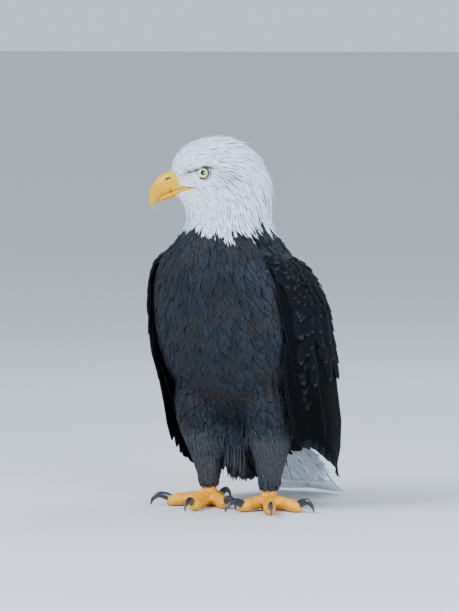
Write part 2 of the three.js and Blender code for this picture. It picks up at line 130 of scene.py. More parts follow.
def merged(*nodes):
    """A bmesh of copies of the frame's solids, with shared corners."""
    shape = bmesh.new()
    for node in nodes:
        shape.from_mesh(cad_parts[node].data)
    bmesh.ops.remove_doubles(shape, verts=shape.verts, dist=1e-6)
    return shape


def cut_off(shape, place, outward):
    """Cut away what lies beyond a plane, and close the cut."""
    bmesh.ops.bisect_plane(
        shape,
        geom=shape.verts[:] + shape.edges[:] + shape.faces[:],
        plane_co=Vector(place) * MM,
        plane_no=Vector(outward),
        clear_outer=True,
    )
    bmesh.ops.holes_fill(shape, edges=[edge for edge in shape.edges if edge.is_boundary])
    return shape


def moulded(shapes, *steps):
    """The mesh that a row of modifiers makes from one or several bmeshes."""
    mesh = bpy.data.meshes.new("moulding")
    whole = bmesh.new()
    for shape in shapes:
        shape.to_mesh(mesh)
        whole.from_mesh(mesh)
        shape.free()
    whole.to_mesh(mesh)
    whole.free()
    blank = placed("moulding", mesh)
    for kind, settings in steps:
        step = blank.modifiers.new(kind, kind)
        for key, value in settings.items():
            setattr(step, key, value)
    made = bpy.data.meshes.new_from_object(blank.evaluated_get(bpy.context.evaluated_depsgraph_get()))
    bpy.data.objects.remove(blank)
    return made


shoulders = cut_off(merged("wing_left_coverts", "wing_right_coverts"), (0, 0, SHOULDER_FOOT), (0, 0, -1))
bill_stub = cut_off(merged("bill_upper", "bill_lower"), head_point(BILL_STUB, 0, 0), AHEAD)
tail_stub = cut_off(merged("tail"), (0, STANCE_Y + TAIL_ROOT, 0), (0, 1, 0))
outline = moulded(
    (merged(*BODY), shoulders, bill_stub, tail_stub),
    ("DISPLACE", dict(strength=GROWTH * MM, mid_level=0)),
    ("REMESH", dict(mode="VOXEL", voxel_size=BODY_CUBE * MM)),
    ("SMOOTH", dict(factor=0.5, iterations=8)),
    ("DISPLACE", dict(strength=-GROWTH * MM, mid_level=0)),
    ("SMOOTH", dict(factor=0.5, iterations=4)),
)


def places(mesh):
    """A mesh's vertices in millimetres."""
    flat = np.empty(len(mesh.vertices) * 3)
    mesh.vertices.foreach_get("co", flat)
    return flat.reshape(-1, 3) / MM


def normals_of(mesh):
    flat = np.empty(len(mesh.vertices) * 3)
    mesh.vertex_normals.foreach_get("vector", flat)
    return flat.reshape(-1, 3)


def surface(points, mesh):
    """A search tree, in millimetres, over a mesh's faces with the vertices at the given points."""
    return BVHTree.FromPolygons(points.tolist(), [face.vertices[:] for face in mesh.polygons])


def nearest(tree, points):
    """For each point: the nearest place on a surface, the normal there, and how far off it is."""
    hits = [tree.find_nearest(point) for point in points.tolist()]
    return [np.array([hit[i] for hit in hits]) for i in (0, 1, 3)]


def mark(mesh, name, values):
    """Keep a number for each of a mesh's points, for its material to read."""
    marks = mesh.attributes.new(name, "FLOAT", "POINT")
    marks.data.foreach_set("value", np.asarray(values).astype(np.float32))


def tree_of(*nodes):
    """A search tree, in millimetres, over some of the frame's solids."""
    points, faces = [], []
    for node in nodes:
        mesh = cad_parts[node].data
        faces += [[i + len(points) for i in face.vertices] for face in mesh.polygons]
        points += [(vert.co / MM)[:] for vert in mesh.vertices]
    return BVHTree.FromPolygons(points, faces)


print("the outline has", len(outline.polygons), "faces")

# %% [markdown]
# ## The face
#
# An eagle's stare comes from a ridge of bone over each eye that throws a shadow on it. The face is small, so
# its part of the outline is divided twice for finer shape, and then the ridge is raised and the hollow under
# it pressed in. Sculpting by rules of place, and not by hand, keeps both sides alike.

# %% Brow ridges
FACE_REACH, EYE_REACH = 72.0, 24.0
# The crest of the ridge: how far ahead of the eye, how high above it, and how far it stands out.
BROW = ((-26, -14, 0, 12, 24, 34), (8, 10.4, 11.2, 9.6, 6.2, 3.0), (0.0, 1.6, 3.0, 3.4, 2.4, 0.0))
BROW_BREADTH = 3.4
HOLLOW_DEPTH, HOLLOW_DROP, HOLLOW_BREADTH = 1.6, 6.0, 2.6  # the dent under the ridge
THROAT = 425.0  # the bird is left coarse below this height
BILL_ROOT = np.array((37.0, 0.0, -20.0))  # ahead, left and above, on the head's ruler


def from_bill(points):
    """Distance from the root of the bill, in millimetres."""
    return np.linalg.norm(on_head(points) - BILL_ROOT, axis=-1)


def off_eye(points):
    """Distance from the nearer eye's own axis, in millimetres."""
    ahead, left, above = on_head(points).T
    return np.hypot(ahead, above) + np.where(np.abs(left) < 8, 99, 0)


def divided(mesh, reach):
    """Split the edges of a mesh inside a region, given as a test of places."""
    shape = bmesh.new()
    shape.from_mesh(mesh)
    inside = reach(places(mesh))
    edges = [edge for edge in shape.edges if inside[edge.verts[0].index] and inside[edge.verts[1].index]]
    bmesh.ops.subdivide_edges(shape, edges=edges, cuts=1, use_grid_fill=True)
    close = reach(np.array([vert.co[:] for vert in shape.verts]) / MM)
    near = [vert for vert, is_close in zip(shape.verts, close) if is_close]
    every_way = dict(use_axis_x=True, use_axis_y=True, use_axis_z=True)
    for _ in range(2):
        bmesh.ops.smooth_vert(shape, verts=near, factor=0.5, **every_way)
    shape.to_mesh(mesh)
    shape.free()
    return mesh


def move_to(mesh, points):
    mesh.vertices.foreach_set("co", (points * MM).ravel())
    mesh.update()


divided(outline, lambda points: (from_bill(points) < FACE_REACH) & (points[:, 2] > THROAT))
divided(outline, lambda points: (off_eye(points) < EYE_REACH) & (from_bill(points) < FACE_REACH))
outline_points = places(outline)
ahead, left, above = on_head(outline_points).T
crest = np.interp(ahead, BROW[0], BROW[1])
raised = np.interp(ahead, BROW[0], BROW[2]) * np.exp(-(((above - crest) / BROW_BREADTH) ** 2))
raised = raised * ease(np.abs(left), 8, 14)
pressed = HOLLOW_DEPTH * np.exp(-(((above - crest + HOLLOW_DROP) / HOLLOW_BREADTH) ** 2))
pressed = pressed * ease(ahead, 6, 14) * ease(-ahead, -34, -22) * ease(np.abs(left), 6, 12)
outline_points = outline_points + np.outer((raised - pressed) * np.sign(left), LEFT)
move_to(outline, outline_points)
outline_tree = surface(outline_points, outline)
print("the face's part has", int((from_bill(outline_points) < FACE_REACH).sum()), "points")

# %% [markdown]
# ## How deep the coat is, and which way it lies
#
# Feathers are shortest round the bill and longest on the neck. The skin lies under the outline by the depth
# of the coat there. Every feather points away from the bill: back over the crown, down the neck, down and
# outward over the breast, and back along the tail. Two functions of place hold this, so that the skin, the
# feathers and their colours always agree.

# %% Depth, lie and markings
NECK_FOOT, NECK_TOP = 396.0, 446.0
RUFF = ((-81, -30, 27), (433, 414, 422))  # how high the lowest white feathers' roots are, from back to front
# Where the plumage is white again behind the feet, how that edge leans, and from where up it leans more.
WHITE_TAIL, WHITE_SLOPE, WHITE_TOP = 56.0, 0.5, 88.0
HEAD_COAT = ((14, 30, 60, 110), (0.7, 1.5, 3.2, 7))  # distances from the bill's root, and depths
BODY_COAT = ((34, 60, 110, 380), (1.5, 4, 6.5, 7))  # heights, and depths


def coat_depth(points):
    """How far the skin lies under the outline."""
    head = np.interp(from_bill(points), *HEAD_COAT)
    head = head * (0.3 + 0.7 * ease(off_eye(points), 10, 24))
    body = np.interp(points[:, 2], *BODY_COAT)
    return body + (head - body) * ease(points[:, 2], NECK_FOOT, NECK_TOP)


def lie(points):
    """The direction in which feathers point at each place, before it is laid on the surface."""
    ahead, _, above = on_head(points).T
    dip = np.clip((10 - above) / 75 * 70 - ahead / 90 * 50, 0, 90) * math.pi / 180
    head = -AHEAD * np.cos(dip)[:, None] - UP * np.sin(dip)[:, None]
    x, y, z = points.T
    sweep = np.where(y > STANCE_Y + 40, 0.35, 0.12)
    body = np.stack((x / 260, sweep, -np.ones_like(x)), axis=-1)
    under = ease(-z, -120, -60) * ease(y, STANCE_Y + 10, STANCE_Y + 50)
    body += under[:, None] * np.array((0, 1.6, 0.5))
    share = ease(z, NECK_FOOT - 10, NECK_TOP)[:, None]
    return unit(unit(body) * (1 - share) + head * share)


def whiteness(points):
    """1 on the head, neck and tail, and 0 on the dark body."""
    ahead = on_head(points)[:, 0]
    edge = np.interp(ahead, *RUFF) + 3 * np.sin(ahead / 4.5)
    head = ease(points[:, 2] - edge, -1, 1)
    start = WHITE_TAIL + WHITE_SLOPE * points[:, 2] + np.maximum(points[:, 2] - WHITE_TOP, 0)
    tail = ease(points[:, 1] - STANCE_Y - start, -2, 2) * ease(-points[:, 2], -190, -170)
    return np.maximum(head, tail)


depths = coat_depth(outline_points)
skin_points = outline_points - normals_of(outline) * depths[:, None]
print("the coat is", depths.min().round(1), "to", depths.max().round(1), "mm deep")

# %% [markdown]
# ## One feather, and a coat of them
#
# A contour feather is a thin curved vane: narrow at the root, widest past the middle, rounded or pointed at
# the tip, and hollow underneath. Each is a closed tube of flat rings along its centre line, and the rings'
# widths give the outline. A coat is thousands of them in one mesh, made from arrays, because an object for
# each would be slow and particle hair is lost in export. Feathers are rooted on the skin, and their tips
# rise to the outline, so that they overlap like shingles.

# %% Outlines of feathers
PATCH = 0.003  # the size of each feather's place on the baked map
# Half widths from root to tip, as shares of the widest: where along the feather, and how wide.
SHAPES = {
    "hackle": ((0, 0.15, 0.4, 0.65, 0.85, 1), (0.35, 0.7, 1, 0.82, 0.42, 0.04)),
    "tuft": ((0, 0.2, 0.5, 0.75, 0.92, 1), (0.3, 0.7, 1, 0.85, 0.45, 0.08)),
    "lance": ((0, 0.2, 0.42, 0.6, 0.75, 0.87, 0.95, 1), (0.25, 0.6, 0.92, 1, 0.87, 0.6, 0.32, 0.05)),
    "shield": ((0, 0.2, 0.42, 0.62, 0.8, 0.91, 0.97, 1), (0.25, 0.6, 0.9, 1, 0.92, 0.68, 0.4, 0.1)),
    "quill": ((0, 0.12, 0.35, 0.6, 0.8, 0.92, 0.975, 1), (0.35, 0.7, 0.92, 1, 0.96, 0.74, 0.42, 0.08)),
}


def walked(roots, lengths, shape, tree, turn=0.0):
    """Centre lines and normals of feathers that walk over a surface along the lie."""
    stations = np.array(SHAPES[shape][0])
    count = len(roots)
    lines = np.empty((count, len(stations), 3))
    normals = np.empty_like(lines)
    place = np.array(roots, float)
    heading = None
    turns = chance.normal(0, 1, count) * turn
    for k, station in enumerate(stations):
        place, normal, _ = nearest(tree, place)
        lines[:, k], normals[:, k] = place, normal
        if k + 1 == len(stations):
            break
        way = lie(place)
        way = unit(way - normal * np.sum(way * normal, axis=1, keepdims=True))
        way = unit(way + np.cross(normal, way) * np.tan(turns)[:, None])
        heading = way if heading is None else unit(heading * 0.5 + way * 0.5)
        place = place + heading * (lengths * (stations[k + 1] - station))[:, None]
    return lines, normals


def smoothed(rows):
    """Each row's values, evened out along a feather."""
    inner = (rows[:, :-2] + rows[:, 1:-1] * 2 + rows[:, 2:]) / 4
    return np.concatenate((rows[:, :1], inner, rows[:, -1:]), axis=1)


# %% A coat as one mesh
def coat(name, shape, lines, normals, widths, depth, home, white, columns=2, lift=0.0, roll=0.1, cup=0.25,
         ragged=0.0, thick=0.35):
    """One mesh of feathers. Depth is how far roots lie under the lines, and lift how far tips stand over."""
    count, rings = lines.shape[:2]
    stations, shares = (np.array(values) for values in SHAPES[shape])
    normals = unit(smoothed(smoothed(normals)))
    sink = -depth[:, None] * (1 - stations) ** 1.4
    rise = (lift + chance.normal(0, 0.3, count) * (0.4 + lift))[:, None] * stations**2
    lines = lines + normals * (sink + rise)[:, :, None]
    along = unit(np.gradient(lines, axis=1))
    side = unit(np.cross(along, normals))
    rolls = (chance.normal(0, 1, count) * roll)[:, None, None]
    side = unit(side * np.cos(rolls) + normals * np.sin(rolls))
    out = unit(np.cross(side, along))
    spread = np.linspace(-1, 1, columns + 1)
    ring = np.concatenate((spread, spread[-2:0:-1]))
    face = np.concatenate((np.ones(columns + 1), -np.ones(columns - 1)))
    half = widths[:, None] / 2 * shares
    lengths = np.linalg.norm(np.diff(lines, axis=1), axis=2).sum(axis=1)
    notch = chance.random((count, len(ring))) * ragged
    notch[:, columns + 1:] = notch[:, columns - 1:0:-1]
    notch *= 0.4 + 0.6 * np.abs(ring)
    back = (lengths[:, None] * notch)[:, None, :] * (stations**4)[:, None]
    drop = half[:, :, None] * cup * ring**2
    wall = thick / 2 * (1 - ring**2) * face
    points = (
        lines[:, :, None]
        + side[:, :, None] * (half[:, :, None] * ring)[..., None]
        + out[:, :, None] * (wall - drop)[..., None]
        - along[:, :, None] * back[..., None]
    )
    size = len(ring)
    first = (np.arange(count) * rings * size)[:, None, None]
    row, column = np.arange(rings - 1)[:, None], np.arange(size)[None]
    corners = np.stack((row * size + column, row * size + (column + 1) % size,
                        (row + 1) * size + (column + 1) % size, (row + 1) * size + column), axis=-1)
    quads = (first[..., None] + corners).reshape(-1, 4)
    root_cap = (first[:, :, 0] + np.arange(size)[::-1]).reshape(-1, size)
    tip_cap = (first[:, :, 0] + (rings - 1) * size + np.arange(size)).reshape(-1, size)
    mesh = bpy.data.meshes.new(name)
    loops = np.concatenate((quads.ravel(), root_cap.ravel(), tip_cap.ravel()))
    starts = np.concatenate((np.arange(len(quads)) * 4, len(quads) * 4 + np.arange(2 * count) * size))
    mesh.vertices.add(count * rings * size)
    mesh.vertices.foreach_set("co", points.ravel() * MM)
    mesh.loops.add(len(loops))
    mesh.loops.foreach_set("vertex_index", loops)
    mesh.polygons.add(len(starts))
    mesh.polygons.foreach_set("loop_start", starts)
    mesh.update(calc_edges=True)
    mesh.polygons.foreach_set("use_smooth", np.ones(len(starts), bool))
    where = np.broadcast_to(ring / 2 + 0.5, (count, rings, size))
    reach = np.broadcast_to(stations[:, None], (count, rings, size))
    patch = home[:, None, None, :] + (np.stack((where, reach), axis=-1) - 0.5) * PATCH
    for label, values in (("OFBake", patch), ("vane", np.stack((where, reach), axis=-1))):
        layer = mesh.uv_layers.new(name=label)
        layer.data.foreach_set("uv", values.reshape(-1, 2)[loops].ravel())
    for label, values in (("tone", chance.random(count)), ("white", white)):
        mark(mesh, label, np.repeat(values, rings * size))
    print(name, count, "feathers,", len(quads) * 2 + 2 * count * (size - 2), "triangles")
    return placed(name, mesh)


# %% [markdown]
# ## Where the roots sit
#
# Feathers grow in rough rows with even gaps, and never on top of each other. So roots are scattered over the
# outline, and one is kept only where no kept root is nearer than the spacing there. The spacing is longer
# along the lie than across it.

# %% Scattered roots
def each(value, points):
    """A number for each point, from one number or from a function of place."""
    return value(points) if callable(value) else np.full(len(points), float(value))


def scattered(points, mesh, tries, wanted, spacing_across, spacing_along):
    """Roots on a mesh's faces, at least a spacing apart, where wanted(points) says so."""
    mesh.calc_loop_triangles()
    corners = np.empty(len(mesh.loop_triangles) * 3, int)
    mesh.loop_triangles.foreach_get("vertices", corners)
    a, b, c = points[corners.reshape(-1, 3)].transpose(1, 0, 2)
    area = np.linalg.norm(np.cross(b - a, c - a), axis=1) / 2
    keep = wanted((a + b + c) / 3)
    area = np.where(keep, area, 0)
    pick = chance.choice(len(area), tries, p=area / area.sum())
    u, v = chance.random((2, tries))
    flip = u + v > 1
    u, v = np.where(flip, 1 - u, u), np.where(flip, 1 - v, v)
    spots = a[pick] + (b - a)[pick] * u[:, None] + (c - a)[pick] * v[:, None]
    way = lie(spots)
    across, along = each(spacing_across, spots), each(spacing_along, spots)
    cell = float(np.maximum(across, along).max())
    keys = [tuple(key) for key in np.floor(spots / cell).astype(int).tolist()]
    rooms = {}
    for i, key in enumerate(keys):
        rooms.setdefault(key, []).append(i)
    steps = [(dx, dy, dz) for dx in (-1, 0, 1) for dy in (-1, 0, 1) for dz in (-1, 0, 1)]
    around = {}
    for x, y, z in rooms:
        inside = [rooms.get((x + dx, y + dy, z + dz), ()) for dx, dy, dz in steps]
        around[x, y, z] = np.array([i for room in inside for i in room])
    free, kept = np.ones(tries, bool), []
    for i, key in enumerate(keys):
        if not free[i]:
            continue
        kept.append(i)
        near = around[key]
        gap = spots[near] - spots[i]
        run = gap @ way[i]
        off = np.maximum((gap * gap).sum(axis=1) - run * run, 0)
        free[near[(run / along[i]) ** 2 + off / across[i] ** 2 < 1]] = False
    return spots[kept]


BODY_TOP = 540.0


def round_axis(points, axis=(0, STANCE_Y)):
    """A root's place on an unwrap of the body: the angle round an upright axis, and the height."""
    angle = np.arctan2(points[:, 1] - axis[1], points[:, 0] - axis[0]) / (2 * math.pi) + 0.5
    return np.stack((0.02 + 0.96 * angle, 0.02 + 0.96 * points[:, 2] / BODY_TOP), axis=-1)

# %% [markdown]
# ## Plumage
#
# Feathers are keratin, like horn, but split into fine barbs that scatter light, so plumage is matt with a
# soft sheen. The dark feathers are slate brown, brown where worn, with a thin paler fringe, and some of
# them, picked at random, take a painted bluish sheen. The white ones are cool white, some greyer at random
# and all greyer towards the root, in painted shade. One material paints both: a mark on each feather says
# which, and the vane's own coordinates place the shaft, barbs and fringe.

# %% Colours and nodes
def colour(code):
    """A linear colour from an sRGB hex code."""
    parts = [int(code[i:i + 2], 16) / 255 for i in (1, 3, 5)]
    return [part / 12.92 if part <= 0.04045 else ((part + 0.055) / 1.055) ** 2.4 for part in parts] + [1.0]


def add(tree, kind, inputs=(), output=0, **settings):
    """Adds a node with its settings and its inputs, values or links, and gives one of its outputs."""
    made = tree.nodes.new(kind)
    for key, value in settings.items():
        setattr(made, key, value)
    for socket, value in dict(inputs).items():
        if isinstance(value, bpy.types.NodeSocket):
            tree.links.new(value, made.inputs[socket])
        else:
            made.inputs[socket].default_value = value
    return [socket for socket in made.outputs if socket.enabled][output]


def material(name):
    """A new material with its shader."""
    made = bpy.data.materials.new(name)
    made.use_nodes = True
    return made, made.node_tree, made.node_tree.nodes["Principled BSDF"]


# %% Feather material
SMOOTH = {"interpolation_type": "SMOOTHSTEP"}  # for map ranges
BLEND = {"data_type": "RGBA"}  # for mixes of colours: inputs 0, 6 and 7


def plumage(name, dark, worn, sheen_blue, fringe, gloss, fringe_share=0.5):
    """Feathers: streaked along the barbs, paler at the fringe, brown where worn, some with a painted bluish
    sheen, and white ones with painted shade at random and at the root.
    """
    made, tree, shader = material(name)
    tone = add(tree, "ShaderNodeAttribute", attribute_name="tone")
    pale = add(tree, "ShaderNodeAttribute", attribute_name="white")
    vane = add(tree, "ShaderNodeSeparateXYZ", {0: add(tree, "ShaderNodeUVMap", uv_map="vane")})
    along = vane.node.outputs[1]
    across = add(tree, "ShaderNodeMath", {0: vane, 1: 0.5}, operation="SUBTRACT")
    across = add(tree, "ShaderNodeMath", {0: across}, operation="ABSOLUTE")
    slant = add(tree, "ShaderNodeMath", {0: across, 1: -0.5, 2: along}, operation="MULTIPLY_ADD")
    barbs = add(tree, "ShaderNodeCombineXYZ", {0: across, 1: slant, 2: tone})
    barbs = add(tree, "ShaderNodeMapping", {"Vector": barbs, "Scale": (3, 34, 40)})
    streaks = add(tree, "ShaderNodeTexNoise", {"Vector": barbs, "Scale": 1.0, "Detail": 2.0})
    place = add(tree, "ShaderNodeTexCoord", output=3)
    cloud = add(tree, "ShaderNodeTexNoise", {"Vector": place, "Scale": 24.0, "Detail": 3.0})
    # Some feathers, picked at random by their tone, turn a lighter blue: a painted sheen.
    blue_sheen = add(tree, "ShaderNodeMapRange", {0: tone, 1: 0.1, 2: 1.0, 4: 0.6}, **SMOOTH)
    tint = add(tree, "ShaderNodeMix", {0: blue_sheen, 6: colour(dark), 7: colour(sheen_blue)}, **BLEND)
    wear = add(tree, "ShaderNodeMapRange", {0: cloud, 1: 0.44, 2: 0.64, 4: 0.8}, **SMOOTH)
    tint = add(tree, "ShaderNodeMix", {0: wear, 6: tint, 7: colour(worn)}, **BLEND)
    sides = add(tree, "ShaderNodeMapRange", {0: across, 1: 0.4, 2: 0.5, 4: fringe_share}, **SMOOTH)
    tip = add(tree, "ShaderNodeMapRange", {0: along, 1: 0.9, 2: 1.0, 4: fringe_share}, **SMOOTH)
    rim = add(tree, "ShaderNodeMath", {0: sides, 1: tip}, operation="MAXIMUM")
    tint = add(tree, "ShaderNodeMix", {0: rim, 6: tint, 7: colour(fringe)}, **BLEND)
    # Some white feathers, picked at random, turn grey-blue: a random tone in the colour of painted shade.
    random_shade = add(tree, "ShaderNodeMapRange", {0: tone, 4: 0.35}, **SMOOTH)
    snow = add(tree, "ShaderNodeMix", {0: random_shade, 6: colour("#edf5fd"), 7: colour("#adc0d2")}, **BLEND)
    # White feathers grey towards the root: painted shade where the next feathers lie over them.
    root = add(tree, "ShaderNodeMapRange", {0: along, 1: 0.75, 2: 0.2, 4: 0.6}, **SMOOTH)
    snow = add(tree, "ShaderNodeMix", {0: root, 6: snow, 7: colour("#adc0d2")}, **BLEND)
    tint = add(tree, "ShaderNodeMix", {0: pale, 6: tint, 7: snow}, **BLEND)
    lines = add(tree, "ShaderNodeMapRange", {0: streaks, 1: 0.35, 2: 0.65, 4: 0.38}, **SMOOTH)
    grey = add(tree, "ShaderNodeMix", {0: pale, 6: colour("#8f949c"), 7: colour("#ccd4de")}, **BLEND)
    tint = add(tree, "ShaderNodeMix", {0: lines, 6: tint, 7: grey}, blend_type="MULTIPLY", **BLEND)
    tree.links.new(tint, shader.inputs["Base Color"])
    ridges = add(tree, "ShaderNodeBump", {"Height": streaks, "Strength": 0.35, "Distance": 0.0006})
    tree.links.new(ridges, shader.inputs["Normal"])
    shader.inputs["Roughness"].default_value = 0.65
    shader.inputs["IOR"].default_value = 1.45
    shader.inputs["Specular IOR Level"].default_value = gloss
    return made


# Mid greys with a soft sheen on the body, and near black on the wings, where only the fringes show.
PLUMAGE = plumage("contour_feathers", "#191d24", "#262424", "#262f3a", "#515c69", 0.15, 0.3)
BELLY = plumage("belly_feathers", "#15191f", "#232120", "#232c37", "#414b56", 0.15, 0.5)
TROUSERS = plumage("leg_feathers", "#1d2025", "#2d2a29", "#2b333d", "#6a7480", 0.15, 0.5)
QUILLS = plumage("flight_feathers", "#040506", "#070606", "#06090d", "#2a3138", 0.04)
COVERTS = plumage("covert_feathers", "#080b0f", "#0e0d0d", "#0e151d", "#3b4550", 0.06)


def finished(piece, finish, slot, *nodes):
    """Give a piece its finish, hang it from the root, and hide the frame's solids that it replaces; the slot
    is not used.
    """
    piece.data.materials.clear()
    piece.data.materials.append(finish)
    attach(piece, "root")
    if nodes:
        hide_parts(*nodes)
    return piece


# %% [markdown]
# ## The head and neck
#
# The white feathers are narrow, pointed hackles. They are a few millimetres long round the bill and the
# eyes, and grow to some 40 mm on the neck, where their tips gather into locks and end in a ragged ruff over
# the dark breast. The shadow that the brow throws over the eye is painted as shade on the same feathers.

# %% Hackles
bill_tree = tree_of("bill_upper", "bill_lower")
BILL_GAP, EYE_GAP = 1.2, 11.0  # no feathers are nearer than this to the bill, or to an eye's axis
LORE = (20.0, 39.0, -15.0, -3.0)  # the bare skin before the eye: from and to ahead, from and to above
# The brow's painted shadow, a dark line from the bill's root over the eye: ahead, above and half breadth.
BROW_SHADE = ((-24, -15, 0, 10, 20, 32), (5.0, 7.4, 8.6, 5.6, 2.4, -0.5), (0.7, 1.5, 2.1, 2.6, 2.8, 2.2))


def brow_shade(points):
    """1 on the brow's painted shadow under the ridge, a fainter painted shade behind the eye, and 0
    elsewhere.
    """
    ahead, left, above = on_head(points).T
    line, breadth = np.interp(ahead, BROW_SHADE[0], BROW_SHADE[1]), np.interp(ahead, BROW_SHADE[0], BROW_SHADE[2])
    # A painted shadow under the brow ridge, and a fainter painted shade behind the eye.
    dark = np.exp(-(((above - line) / breadth) ** 2)) * ease(ahead, -15, -6) * ease(-ahead, -36, -28)
    behind = 0.35 * np.exp(-((ahead + 26) / 9) ** 2 - ((above + 2) / 6) ** 2)
    return np.clip(dark + behind, 0, 1) * (np.abs(left) > 7)


def bare(points):
    """Places without feathers: the bill, the eyes, the skin before them and the corners of the mouth."""
    ahead, left, above = on_head(points).T
    bill = nearest(bill_tree, points)[2] < BILL_GAP
    narrow = 1 - (LORE[1] - ahead) / (LORE[1] - LORE[0]) * 0.6
    lore = (ahead > LORE[0]) & (ahead < LORE[1]) & (above > LORE[2] * narrow) & (above < LORE[3])
    lips = (ahead > 3) & (ahead < 44) & (np.abs(above + 21 + ahead * 0.06) < 1.6 + 0.12 * ahead)
    return bill | (np.abs(left) > 5) & (lore | lips) | (off_eye(points) < EYE_GAP)


def hackle_length(points):
    away = 0.45 + 0.55 * ease(off_eye(points), 10, 28)
    return np.clip(4.5 + 0.34 * (from_bill(points) - 10), 5, 42) * away


def hackle_width(points):
    return 1.25 + 0.075 * hackle_length(points)


def white_head(points):
    return (whiteness(points) > 0.5) & (points[:, 2] > NECK_FOOT) & ~bare(points)


def gathered(lines, size, pull):
    """Feathers whose tips lean together into locks about as wide as the given size."""
    roots = lines[:, 0]
    heads = [0]
    for i in range(len(roots)):
        if (np.linalg.norm(roots[heads] - roots[i], axis=1) > size[i]).all():
            heads.append(i)
    leaders = np.array(heads)[np.linalg.norm(roots[:, None] - roots[heads][None], axis=2).argmin(axis=1)]
    share = np.linspace(0, 1, lines.shape[1])[None, :, None] ** 1.5
    return lines + (lines[leaders] - lines) * share * pull


roots = scattered(outline_points, outline, 260000, white_head,
                  lambda p: 0.55 * hackle_width(p), lambda p: 0.15 * hackle_length(p))
behind = on_head(roots)[:, 0] < -12
for name, part in (("face_feathers", ~behind), ("neck_hackles", behind)):
    where = roots[part]
    lengths = hackle_length(where) * chance.uniform(0.8, 1.2, len(where))
    lines, normals = walked(where, lengths, "hackle", outline_tree, turn=0.08)
    lines = gathered(lines, 3 + 0.2 * hackle_length(where), 0.4)
    loose = np.where(chance.random(len(where)) < 0.2, chance.uniform(0.5, 5.0, len(where)), 0)
    loose = loose * ease(from_bill(where), 45, 90)
    # The brow's painted shadow greys the face's white feathers.
    hackles = coat(name, "hackle", lines, normals, hackle_width(where), coat_depth(where) * 0.8,
                   round_axis(where, EYES[:2] - AHEAD[:2] * 20), 1 - 0.95 * brow_shade(where), lift=0.2 + loose,
                   cup=0.12, roll=0.05, thick=0.3)
    finished(hackles, PLUMAGE, "white_plumage")

# %% [markdown]
# ## Breast, belly and legs
#
# The breast's feathers are lance-shaped and lie close. On the belly they become short, rounded and looser,
# and the legs wear trousers of soft tufts that end in a ragged fringe over the bare shin. Each kind is a
# piece of its own, and the kinds mix where they meet. None grows where a folded wing hides the body.

# %% Body feathers
WING_PARTS = ("coverts", "secondaries", "primaries")
WING_NODES = {side: [f"wing_{side}_{part}" for part in WING_PARTS] for side in SIDES}
wing_trees = {side: tree_of(*WING_NODES[side]) for side in SIDES}


def under_wing(points):
    """Whether a wing covers each place, seen from straight outside."""
    covered = []
    for x, y, z in points.tolist():
        way = Vector((x, (y - STANCE_Y - 20) * 0.8, 0)).normalized()
        tree = wing_trees["left" if x > 0 else "right"]
        covered.append(tree.ray_cast(Vector((x, y, z)) + way * 2, way, 90)[0] is not None)
    return np.array(covered)


def on_leg(points):
    """1 on the feathered legs, and 0 on the body."""
    legs = ease(-points[:, 2], -150, -110) * ease(np.abs(points[:, 0]), 12, 22)
    return legs * ease(STANCE_Y + 75 - points[:, 1], 0, 15)


HEIGHTS = (60, 150, 250, 330, 400, 440)
BODY_LENGTHS, LEG_LENGTH = (26, 31, 40, 46, 42, 34), 27
BODY_WIDTHS, LEG_WIDTH = (10, 13, 16, 15, 10, 7), 4.5


def body_length(points):
    body = np.interp(points[:, 2], HEIGHTS, BODY_LENGTHS)
    return body + (LEG_LENGTH - body) * on_leg(points)


def body_width(points):
    body = np.interp(points[:, 2], HEIGHTS, BODY_WIDTHS)
    return body + (LEG_WIDTH - body) * on_leg(points)


BELLY_TOP, BELLY_BLEND = 195.0, 28.0  # about here the body's feathers become rounded and scalloped
LOWEST_ROOT = 36.0
WING_TOP, WING_GAP = 382.0, 3.0  # below this height, no body feather is nearer than this to a wing


def dark_body(points):
    """The dark body where it is in the open, or where the tip of a feather rooted there would be."""
    open_air = ~under_wing(points) | ~under_wing(points - (0, 0, 25))
    winged = np.array([wing_trees["left" if x > 0 else "right"].find_nearest((x, y, z))[3]
                       for x, y, z in points.tolist()]) < WING_GAP
    height = points[:, 2]
    return (whiteness(points) < 0.5) & (height > LOWEST_ROOT) & open_air & ~(winged & (height < WING_TOP))


roots = scattered(outline_points, outline, 90000, dark_body,
                  lambda p: 0.42 * body_width(p), lambda p: 0.24 * body_length(p))
leg = on_leg(roots) > 0.5
belly = ~leg & (roots[:, 2] < chance.normal(BELLY_TOP, BELLY_BLEND, len(roots)))
breast, left_side = ~leg & ~belly, roots[:, 0] > 0
for name, part, shape, finish, lift, loose in (
    ("breast_feathers_left", breast & left_side, "lance", PLUMAGE, 0.1, 0.1),
    ("breast_feathers_right", breast & ~left_side, "lance", PLUMAGE, 0.1, 0.1),
    ("belly_feathers", belly, "shield", BELLY, 0.7, 0.16),
    ("leg_feathers_left", leg & left_side, "tuft", TROUSERS, 0.6, 0.3),
    ("leg_feathers_right", leg & ~left_side, "tuft", TROUSERS, 0.6, 0.3),
):
    where = roots[part]
    lengths = body_length(where) * chance.uniform(0.85, 1.15, len(where))
    lines, normals = walked(where, lengths, shape, outline_tree, turn=loose)
    piece = coat(name, shape, lines, normals, body_width(where), coat_depth(where) * 0.5,
                 round_axis(where), 0.03 * on_leg(where), columns=4, lift=lift, roll=loose * 0.5,
                 ragged=0.16, cup=0.08)
    finished(piece, finish, "dark_plumage")

# %% Vent fringe
FRINGE_FOOT = 36.0


def vent(points):
    """The underside between the legs and the tail."""
    x, y, z = (points - (0, STANCE_Y, 0)).T
    return (np.abs(x) < 34) & (z < 100) & (z > 48) & (y > -40) & (y < 75) & (on_leg(points) < 0.3)


